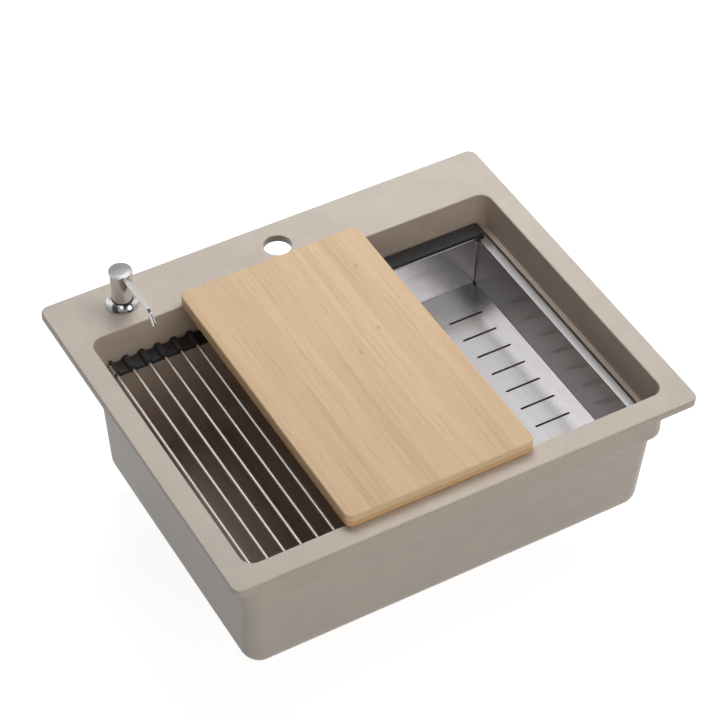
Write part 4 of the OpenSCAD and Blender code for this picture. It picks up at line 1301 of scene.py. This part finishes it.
    def dress(self) -> None:
        """Places the fixed part of the rack, then each loose link with its rod."""
        fixed = range(self.loose, self.rods)
        self.group(fixed, "rack", ("rods_fixed", "rack_rods"), ("strip_SIDE", "rack_strip_SIDE"))
        for n in range(1, self.loose + 1):
            rod, strip = (f"rod_loose_{n}", f"roll_rod_{n}"), (f"link_SIDE_{n}", f"roll_link_SIDE_{n}")
            self.group(range(n - 1, n), f"roll_{n}", rod, strip)


# Colander


@dataclass
class Colander(Assembly):
    """Folded steel tray with slots, open corners and a dark rail at each end."""

    x0: float = 57.0
    x1: float = 257.0
    floor: tuple[float, float, float, float] = (73.0, 241.0, -191.1, 142.6)
    lean: float = 6.0
    floor_z: float = -105.0
    top_z: float = -38.8
    flange: float = 10.0
    lip: float = 13.7
    sheet: float = 1.2
    bevel: float = 0.15
    floor_rim: float = 4.0
    bend: float = 0.9
    top_bend: float = 1.2
    bend_steps: int = 5
    spring: float = 1.1
    corner_lap: float = 0.3
    corner_share: float = 1.6
    corner_fade_share: float = 12.0
    fold_r: float = 2.8
    fold_end: float = 0.8
    wall_shares: tuple = (0.0, 0.04, 0.2, 0.4, 0.6, 0.8, 0.96, 1.0)
    slot: Pair = (48.0, 3.0)
    slot_x: Pair = (116.5, 197.5)
    slot_pitch: float = 33.1
    slot_rows: int = 8
    middle: float = -24.25
    rail_y: Pair = (-217.1, 168.6)
    rail_d: float = 20.0
    rail_h: float = 7.0
    rail_r: float = 4.0
    rail_edges: Pair = (1.5, 0.3)
    foot_d: float = 6.0
    foot_in: float = 4.0
    foot_r: float = 0.4
    foot_gaps: Pair = (0.05, 0.4)
    foot_lap: float = 0.5

    def wall(self, out: float, spring: float) -> np.ndarray:
        """Section from the floor over the wall to the end of its top fold, as across and height.

        Args:
            out: Width of the top fold.
            spring: Rise of the fold from its bend to its free edge.

        Returns:
            Array of points x 2.
        """
        run = rounded([(-self.floor_rim, self.floor_z, 0), (0.0, self.floor_z, self.bend),
                       (self.lean, self.top_z - spring, self.top_bend), (self.lean + out, self.top_z, 0)],
                      self.bend_steps)
        _, low, high, end = run.reshape(4, self.bend_steps + 1, 2)
        slope = math.atan(self.lean / (self.top_z - self.floor_z))
        low[0] = (-self.bend * math.tan((math.pi / 2 - slope) / 2), self.floor_z)
        wall = low[-1] + (high[0] - low[-1]) * np.array(self.wall_shares)[:, None]
        return np.vstack([low[:-1], wall, high[1:-1], np.linspace(high[-1], end[-1], 3)])

    def panel(self, section: np.ndarray, side: str) -> np.ndarray:
        """Carries a wall's section along one side of the floor.

        Args:
            section: Array of points x 2, distance outwards from the floor's edge and height.
            side: left, right, front or back.

        Returns:
            Array of points x columns x 3.
        """
        fx0, fx1, fy0, fy1 = self.floor
        out, z = section[:, :1], section[:, 1:]
        rise = np.clip((z - self.floor_z) / (self.top_z - self.floor_z), 0, 1)
        spread, corner = self.lean * rise, self.bend * self.corner_share
        t = np.linspace(0, 1, 25)[None, :]
        if side in ("left", "right"):
            cut = corner * np.clip(1 - rise * self.corner_fade_share, 0, 1) - self.corner_lap
            y0, y1 = fy0 - spread + cut, fy1 + spread - cut
            x, y = fx1 + out if side == "right" else fx0 - out, y0 + (y1 - y0) * t
        else:
            cut = corner + self.fold_r * np.clip(np.minimum(rise, 1 - rise) / self.wall_shares[1], 0, 1)
            x0, x1 = fx0 - spread + cut, fx1 + spread - cut
            x, y = x0 + (x1 - x0) * t, fy1 + out if side == "back" else fy0 - out
        return np.stack(np.broadcast_arrays(x, y, z + 0 * t), -1)

    def fold(self, draft: Draft, p: np.ndarray, side: str) -> None:
        """Folds both upright ends of a panel inwards, beside the open corners.

        The sheet turns about an upright line: at angle a it has gone fold_r sin a along the
        panel and fold_r (1 - cos a) inwards, and then runs on by fold_end.

        Args:
            draft: Mesh in the making.
            p: Points of the panel.
            side: back or front.
        """
        left, turned_in = quarter(self.fold_r, 6)
        along = np.append(self.fold_r - left, self.fold_r)
        inwards = np.append(turned_in, self.fold_r + self.fold_end)
        rows = p[self.bend_steps + 1:self.bend_steps + len(self.wall_shares) - 1]
        facing = -1 if side == "back" else 1
        for column, sign in ((0, -1), (-1, 1)):
            turn = np.stack([sign * along, facing * inwards, 0 * along], -1)
            draft.grid(rows[:, column][:, None] + turn[None], wrap=False)

    def slots(self) -> list[np.ndarray]:
        """Outlines of the slots: half circles at the ends of a straight run."""
        long, wide = self.slot
        a = np.radians(np.linspace(-90, 90, 9))
        right = np.column_stack([(long - wide) / 2 + wide / 2 * np.cos(a), wide / 2 * np.sin(a), 0 * a])
        shape = np.vstack([right, right * (-1, -1, 1)])
        first = self.middle - (self.slot_rows - 1) / 2 * self.slot_pitch
        return [shape + (x, first + k * self.slot_pitch, self.floor_z)
                for x in self.slot_x for k in range(self.slot_rows)]

    def tray(self) -> None:
        """Builds and places the folded sheet."""
        draft = Draft()
        edges = {}
        for side in ("right", "back", "left", "front"):
            folded = side in ("back", "front")
            section = self.wall(self.lip, 0.0) if folded else self.wall(self.flange, self.spring)
            p = self.panel(section, side)
            draft.grid(p, wrap=False)
            if folded:
                self.fold(draft, p, side)
            edges[side] = p[0]
        loop = np.vstack([edges["right"], edges["back"][::-1], edges["left"][::-1], edges["front"]])
        draft.flat(loop, self.slots())
        Piece("tray_folded", "colander", self.finishes.tray, "colander_tray", Shade.SOFT, self.bevel,
              self.sheet).build(draft)

    def rail(self, side: str, y0: float, foot_y: float) -> None:
        """Builds and places a rail: a rounded bar over the tray's lip with a foot on the ledge.

        Args:
            side: back or front.
            y0: Front of the rail.
            foot_y: Front of the foot's place.
        """
        low, high = self.top_z, self.top_z - self.sheet + self.rail_h
        plan = Plan(self.x0, self.x1, y0, y0 + self.rail_d, self.rail_r)
        top_edge, foot_edge = self.rail_edges
        rows = edge_round(plan, high, top_edge) + edge_round(plan, low, foot_edge, top=False, steps=2)[::-1]
        front_gap, back_gap = self.foot_gaps
        foot = Plan(self.x0 + self.foot_in, self.x1 - self.foot_in, foot_y + front_gap,
                    foot_y + self.foot_d - back_gap, self.foot_r)
        draft = Draft()
        draft.block(rings(rows, 8, 6))
        draft.block(rings([(foot, low + self.foot_lap), (foot, low - self.sheet)], 3, 6))
        Piece(f"rail_{side}", "colander", self.finishes.rail, f"colander_rail_{side}").build(draft)

    def dress(self) -> None:
        """Places the tray and its rails."""
        self.tray()
        y0, y1 = self.rail_y
        self.rail("back", y1 - self.rail_d, y1 - self.foot_d)
        self.rail("front", y0, y0)


# Dispenser


@dataclass
class SoapDispenser(Assembly):
    """Chromed base, head and spout on the deck; pump, nut and bottle below it."""

    x: float = -206.5
    y: float = 210.5
    deck: float = 10.0
    base_r: float = 20.0
    base_top: float = 18.2
    base_in: float = 0.3
    base_rim: tuple = ((0.08, 0.12), (0.0, 0.35))
    base_foot: float = 0.2
    collar_r: float = 12.8
    collar_t: float = 0.8
    collar_edge: float = 0.15
    collar_flat: float = 0.4
    hollow: float = 0.3
    lip: float = 1.5
    bore_r: float = 13.5
    bore_step: float = 2.5
    shank_r: float = 15.7
    shank_z: float = -35.0
    shank_end: float = 0.8
    shoulder_z: float = 2.0
    neck_z: float = -3.0
    thread_top: float = -4.0
    thread_end: float = 1.0
    thread_half: float = 0.35
    thread_pitch: float = 1.5
    head_low: float = 18.5
    head_high: float = 62.5
    head_foot_r: float = 12.0
    head_top_r: float = 14.5
    head_edge: float = 1.0
    crown: float = 0.8
    crown_shares: Pair = (0.55, 0.3)
    crown_r: float = 6.0
    mouth_lip: float = 3.2
    mouth_wall: float = 1.6
    mouth_rise: float = 3.0
    top_wall: float = 2.0
    roof: float = 3.6
    roof_r: float = 0.5
    post_r: float = 6.6
    post_drop: float = 25.6
    post_edge: float = 0.4
    socket_r: float = 4.25
    socket_edge: float = 0.2
    socket_roof: float = 9.6
    spout_z: float = 56.7
    spout_r: float = 2.8
    spout_bore: float = 2.1
    spout_start: float = 4.0
    spout_edges: Pair = (0.25, 0.2)
    reach: float = 72.0
    drop: float = 15.0
    tilt: float = math.asin(0.8)
    turn: float = 8.0
    yaw: float = 1.8

    def base(self) -> None:
        """Flared base with its threaded shank.

        At angle a the flare has gone share (1 - h) t + h (1 - cos a) across and share
        (1 - h) t + h sin a down, where h is hollow and t runs evenly from 0 to 1.
        """
        top, rim, e = self.base_top, self.deck + self.lip, self.collar_edge
        start = self.collar_r + self.collar_flat
        reach = self.base_r - self.base_in - self.collar_r - self.collar_flat
        a = np.linspace(0, np.pi / 2, 16)
        t = (1 - self.hollow) * (a / a[-1])
        across, down = t + self.hollow * (1 - np.cos(a)), t + self.hollow * np.sin(a)
        flare = np.column_stack([start + reach * across, top - e - (top - rim - e) * down])
        z = np.linspace(self.thread_top, self.shank_z + self.thread_end, 120)
        wave = self.thread_half * np.cos(2 * np.pi * z / self.thread_pitch)
        thread = np.column_stack([self.shank_r - self.thread_half + wave, z])
        bore, seat, foot = self.bore_r, top - self.collar_t, self.base_foot
        outline = np.vstack([
            [[bore, self.shoulder_z], [bore, seat], [self.collar_r, seat], [self.collar_r, top - e],
             [self.collar_r + e, top]],
            flare,
            [[self.base_r - inwards, rim - low] for inwards, low in self.base_rim],
            [[self.base_r, self.deck + foot], [self.base_r - foot, self.deck]],
            [[self.shank_r, self.deck], [self.shank_r, self.neck_z]],
            thread,
            [[self.shank_r - self.shank_end, self.shank_z], [bore - self.bore_step, self.shank_z],
             [bore - self.bore_step, self.shoulder_z]],
        ])
        p = turned(outline, (self.x, self.y, 0), steps=96)
        draft = Draft()
        draft.grid(np.concatenate([p, p[:1]]))
        Piece("dispenser_base", "sink", self.finishes.chrome, "dispenser_collar", Shade.CRISP).build(draft)

    def head(self) -> None:
        """Tapered head, hollow from below round a post with the stem's socket."""
        low, high, top_r, foot_r = self.head_low, self.head_high, self.head_top_r, self.head_foot_r
        across, down = self.crown_shares
        roof, post, socket = high - self.roof, high - self.post_drop, high - self.socket_roof
        outline = rounded([
            (0, high, 0), (top_r * across, high - self.crown * down, self.crown_r),
            (top_r, high - self.crown, self.head_edge), (foot_r, low, self.head_edge),
            (foot_r - self.mouth_lip, low, 0.0), (foot_r - self.mouth_wall, low + self.mouth_rise, 0.0),
            (top_r - self.top_wall, roof, self.roof_r), (self.post_r, roof, 0.0),
            (self.post_r, post, self.post_edge), (self.socket_r, post, self.socket_edge),
            (self.socket_r, socket, 0.0), (0, socket, 0)], 8)
        draft = Draft()
        draft.grid(turned(outline, (self.x, self.y, 0), steps=112))
        Piece("dispenser_head", "spout", self.finishes.chrome, "dispenser_head", Shade.CRISP).build(draft)

    def spout(self) -> None:
        """Bent tube: a straight run, an arc of the turn radius, and a short tail with a bore."""
        sine, cosine = math.sin(self.tilt), math.cos(self.tilt)
        tail = (self.drop - self.turn * (1 - cosine)) / sine
        bend = self.reach - self.turn * math.tan(self.tilt / 2)
        a = np.linspace(0, self.tilt, 16)
        run = np.column_stack([np.linspace(self.spout_start, bend, 24), np.zeros(24)])[:-1]
        arc = np.column_stack([bend + self.turn * np.sin(a), -self.turn * (1 - np.cos(a))])
        end = arc[-1] + np.linspace(0, tail, 8)[1:, None] * np.array([cosine, -sine])
        flat = np.vstack([run, arc, end])
        yaw = math.radians(self.yaw)
        along, side = np.array([math.sin(yaw), -math.cos(yaw), 0]), (math.cos(yaw), math.sin(yaw), 0)
        path = np.array([self.x, self.y, self.spout_z]) + flat[:, :1] * along + flat[:, 1:] * np.array(UP)
        outer, inner = np.full(len(path), self.spout_r), np.full(len(path), self.spout_bore)
        outer[-1] -= self.spout_edges[0]
        inner[-1] += self.spout_edges[1]
        tube, bore = swept(path, side, outer), swept(path, side, inner)
        draft = Draft()
        for patch in (tube, bore, np.stack([tube[0], bore[0]]), np.stack([tube[-1], bore[-1]])):
            draft.grid(patch)
        Piece("dispenser_spout", "spout", self.finishes.chrome, "dispenser_spout").build(draft)

    def below(self) -> None:
        """Washer, nut, pump parts, tube and bottle, from the solids."""
        dark, milky = self.finishes.dark, self.finishes.milky
        dress_solids([
            ("dispenser_washer", "sink", self.finishes.gasket, 0.3), ("dispenser_nut", "sink", dark, 0.5),
            ("pump_housing", "sink", dark, 0.2), ("pump_guide", "sink", dark, 0.0),
            ("pump_stem", "pump", dark, 0.2), ("inlet_ball", "sink", self.finishes.plain, 0.0),
            ("dip_tube", "sink", milky, 0.0), ("soap_bottle", "sink", milky, 0.4)])
        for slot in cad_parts["pump_spring"].material_slots:
            slot.link = "DATA"
            slot.material = self.finishes.plain.material

    def dress(self) -> None:
        """Places all of the dispenser."""
        for part in (self.base, self.head, self.spout, self.below):
            part()


# Waste and overflow


@dataclass
class Fittings(Assembly):
    """Basket waste in the bowl's floor and overflow in its back wall, dressed from the solids."""

    bevel: float = 0.3

    def dress(self) -> None:
        """Places the pieces of the waste and the overflow."""
        coats = self.finishes
        steel, rubber, dark, plain = coats.fitting, coats.gasket, coats.dark, coats.plain
        rows = [
            ("waste_flange", "sink", steel), ("flange_gasket", "sink", rubber),
            ("body_gasket", "sink", rubber), ("waste_body", "sink", dark),
            ("waste_screw", "sink", plain), ("strainer_basket", "strainer", steel),
            ("strainer_stem", "strainer", steel), ("strainer_seal", "strainer", rubber),
            ("overflow_cover", "sink", steel), ("overflow_gasket", "sink", rubber),
            ("overflow_elbow", "sink", dark), ("overflow_screw", "sink", plain)]
        dress_solids([(*row, self.bevel) for row in rows])


# Studio


@dataclass(frozen=True)
class Softbox:
    """A square studio light that points at the bowl, in metres and watts."""

    name: str
    place: Triple
    size: float
    power: float
    colour: Triple
    aim: Triple = (0.0, 0.0, -0.08)

    def hang(self) -> None:
        """Puts the light into the scene, where neither the camera nor a mirror sees it."""
        lamp = bpy.data.lights.new(self.name, "AREA")
        lamp.shape = "SQUARE"
        lamp.size = self.size
        lamp.energy = self.power
        lamp.color = self.colour
        obj = bpy.data.objects.new(self.name, lamp)
        obj.location = self.place
        way = Vector(self.aim) - Vector(self.place)
        obj.rotation_euler = way.to_track_quat("-Z", "Y").to_euler()
        obj.visible_camera = False
        obj.visible_glossy = False
        bpy.context.scene.collection.objects.link(obj)


@dataclass(frozen=True)
class Glow:
    """A soft spot of the surround, light or dark, placed and sized in degrees."""

    turn: float
    lift: float
    edge: float
    core: float
    strength: float


@dataclass
class Studio:
    """Pale floor, a surround that only the camera and mirrors see, soft lights and the camera."""

    floor_z: float = -269.5
    floor_half: float = 6000.0
    paper: Pair = (0.54, 0.57)
    paper_glow: float = 0.88
    heights: tuple = ((0.0, 1.0), (0.16, 1.0), (0.5, 0.42), (0.78, 0.36), (0.9, 0.12))
    glows: tuple = (
        Glow(46.0, 58.0, 23.0, 6.0, 1.15), Glow(-59.0, 36.5, 20.0, 8.0, 2.3),
        Glow(119.0, 58.0, 14.0, 5.0, 2.4), Glow(98.0, 46.0, 16.0, 5.0, 1.0),
        Glow(-121.0, 30.0, 15.0, 9.0, 1.1), Glow(-90.0, 12.0, 42.0, 22.0, -0.85))
    flags: tuple = ((180.0, 24.0), (-55.0, 26.0))
    flag_shade: float = 0.15
    flag_soft: float = 5.0
    least: float = 0.02
    lights: tuple = (
        Softbox("overhead_back", (0.2, 0.65, 1.3), 1.0, 9.0, (1.0, 0.97, 0.94)),
        Softbox("overhead_right", (0.8, 0.0, 1.25), 0.9, 8.0, (1.0, 0.97, 0.94)),
        Softbox("back_high", (0.6, 1.35, 2.25), 1.0, 17.0, (0.87, 0.95, 1.0)),
        Softbox("back_right", (1.9, 1.6, 2.3), 1.5, 4.5, (0.95, 0.98, 1.0)),
        Softbox("front", (0.0, -2.8, 0.7), 1.5, 22.0, (1.0, 0.95, 0.88)),
        Softbox("front_high", (-0.4, -1.9, 1.4), 1.2, 3.0, (1.0, 0.93, 0.86)),
        Softbox("left_over", (-2.4, -0.6, 0.8), 1.0, 3.6, (1.0, 0.94, 0.87)),
        Softbox("left", (-1.9, 0.0, -0.05), 0.4, 0.55, (0.55, 0.72, 1.0)))
    lens: float = 131.132
    sensor: float = 36.0
    view_end: float = 50.0
    stand: Triple = (-1.0699027, -1.8609723, 2.1430296)
    aim: Triple = (45.0202, -0.2810, -29.4984)

    def floor(self) -> None:
        """Lays the floor that only carries the shadow and the bounce."""
        half, z = self.floor_half, self.floor_z
        corners = [[-half, -half, z], [half, -half, z], [half, half, z], [-half, half, z]]
        draft = Draft()
        draft.add(np.array(corners), np.array([[0, 1, 2, 3]]))
        mesh = draft.mesh("studio_floor", closed=False)
        p = Paint("studio_paper", Roughness=0.9, Specular_IOR_Level=0.2, Emission_Strength=1.0)
        t = p.tree
        p.wire("Base Color", t.tint(t.noise(p.place, 60.0, 3.0), *map(grey, self.paper)))
        p.wire("Emission Color", t.tint(t.seen(), grey(0.0), grey(self.paper_glow)))
        mesh.materials.append(p.material)
        obj = bpy.data.objects.new("studio_floor", mesh)
        bpy.context.scene.collection.objects.link(obj)

    def facing(self, t: Tree, way: Socket, turn: float, lift: float) -> Socket:
        """Cosine of the angle between a way and the direction (turn, lift), in degrees."""
        a, b = math.radians(turn), math.radians(lift)
        middle = (math.cos(a) * math.cos(b), math.sin(a) * math.cos(b), math.sin(b))
        return t.vector("DOT_PRODUCT", way, middle)

    def brightness(self, t: Tree) -> Socket:
        """Works out the surround: a level by height, shaded by the flags, with the glows added.

        Args:
            t: Tree of the world.

        Returns:
            Brightness in each direction.
        """
        way = t.lay("TexCoord").outputs["Generated"]
        level = t.vector("NORMALIZE", t.vector("MULTIPLY", way, (1.0, 1.0, 0.0)))
        total = t.lay("SeparateColor", {"Color": t.ramp(t.parts(way)["Z"], self.heights)}).outputs[0]
        for turn, half in self.flags:
            low, high = (math.cos(math.radians(half + soft)) for soft in (self.flag_soft, -self.flag_soft))
            shade = t.scaled(self.facing(t, level, turn, 0.0), low, high, 1.0, self.flag_shade)
            total = t.math("MULTIPLY", total, shade)
        for glow in self.glows:
            near = t.math("MINIMUM", self.facing(t, way, glow.turn, glow.lift), 1.0)
            wires = {"Value": t.math("ARCCOSINE", near), "From Min": math.radians(glow.edge),
                     "From Max": math.radians(glow.core), "To Min": 0.0, "To Max": glow.strength}
            soft = t.lay("MapRange", wires, interpolation_type="SMOOTHSTEP")
            total = t.math("ADD", total, soft.outputs[0])
        return t.math("MAXIMUM", total, self.least)

    def world(self) -> None:
        """Surrounds the scene with what the camera and mirrors see; it sheds no other light."""
        world = bpy.data.worlds.new("studio")
        bpy.context.scene.world = world
        world.use_nodes = True
        world.node_tree.nodes.clear()
        t = Tree(world.node_tree)
        total = self.brightness(t)
        colour = t.lay("CombineColor", {0: total, 1: total, 2: total}).outputs[0]
        unlit = t.lay("Background", {"Strength": 0.0})
        paper = t.lay("Background", {"Color": colour, "Strength": 1.0})
        mix = t.lay("MixShader", {0: t.seen(), 1: unlit.outputs[0], 2: paper.outputs[0]})
        t.lay("OutputWorld", {"Surface": mix.outputs[0]})

    def camera(self) -> None:
        """Stands the camera where the photograph was taken from."""
        data = bpy.data.cameras.new("camera")
        data.lens = self.lens
        data.sensor_width = self.sensor
        data.clip_end = self.view_end
        obj = bpy.data.objects.new("camera", data)
        obj.location = self.stand
        obj.rotation_euler = tuple(math.radians(a) for a in self.aim)
        bpy.context.scene.collection.objects.link(obj)
        bpy.context.scene.camera = obj

    def build(self) -> None:
        """Sets up the whole studio."""
        self.camera()
        self.floor()
        self.world()
        for light in self.lights:
            light.hang()
        bpy.context.scene.view_settings.view_transform = "Standard"


def main() -> None:
    """Builds the studio and every sub-assembly."""
    logging.basicConfig(level=logging.INFO, format="%(name)s %(message)s")
    Studio().build()
    finishes = Finishes()
    for part in (StoneShell, CuttingBoard, RollRack, Colander, SoapDispenser, Fittings):
        LOG.info("building %s", part.__name__)
        part(finishes).dress()


if __name__ == "__main__":
    main()
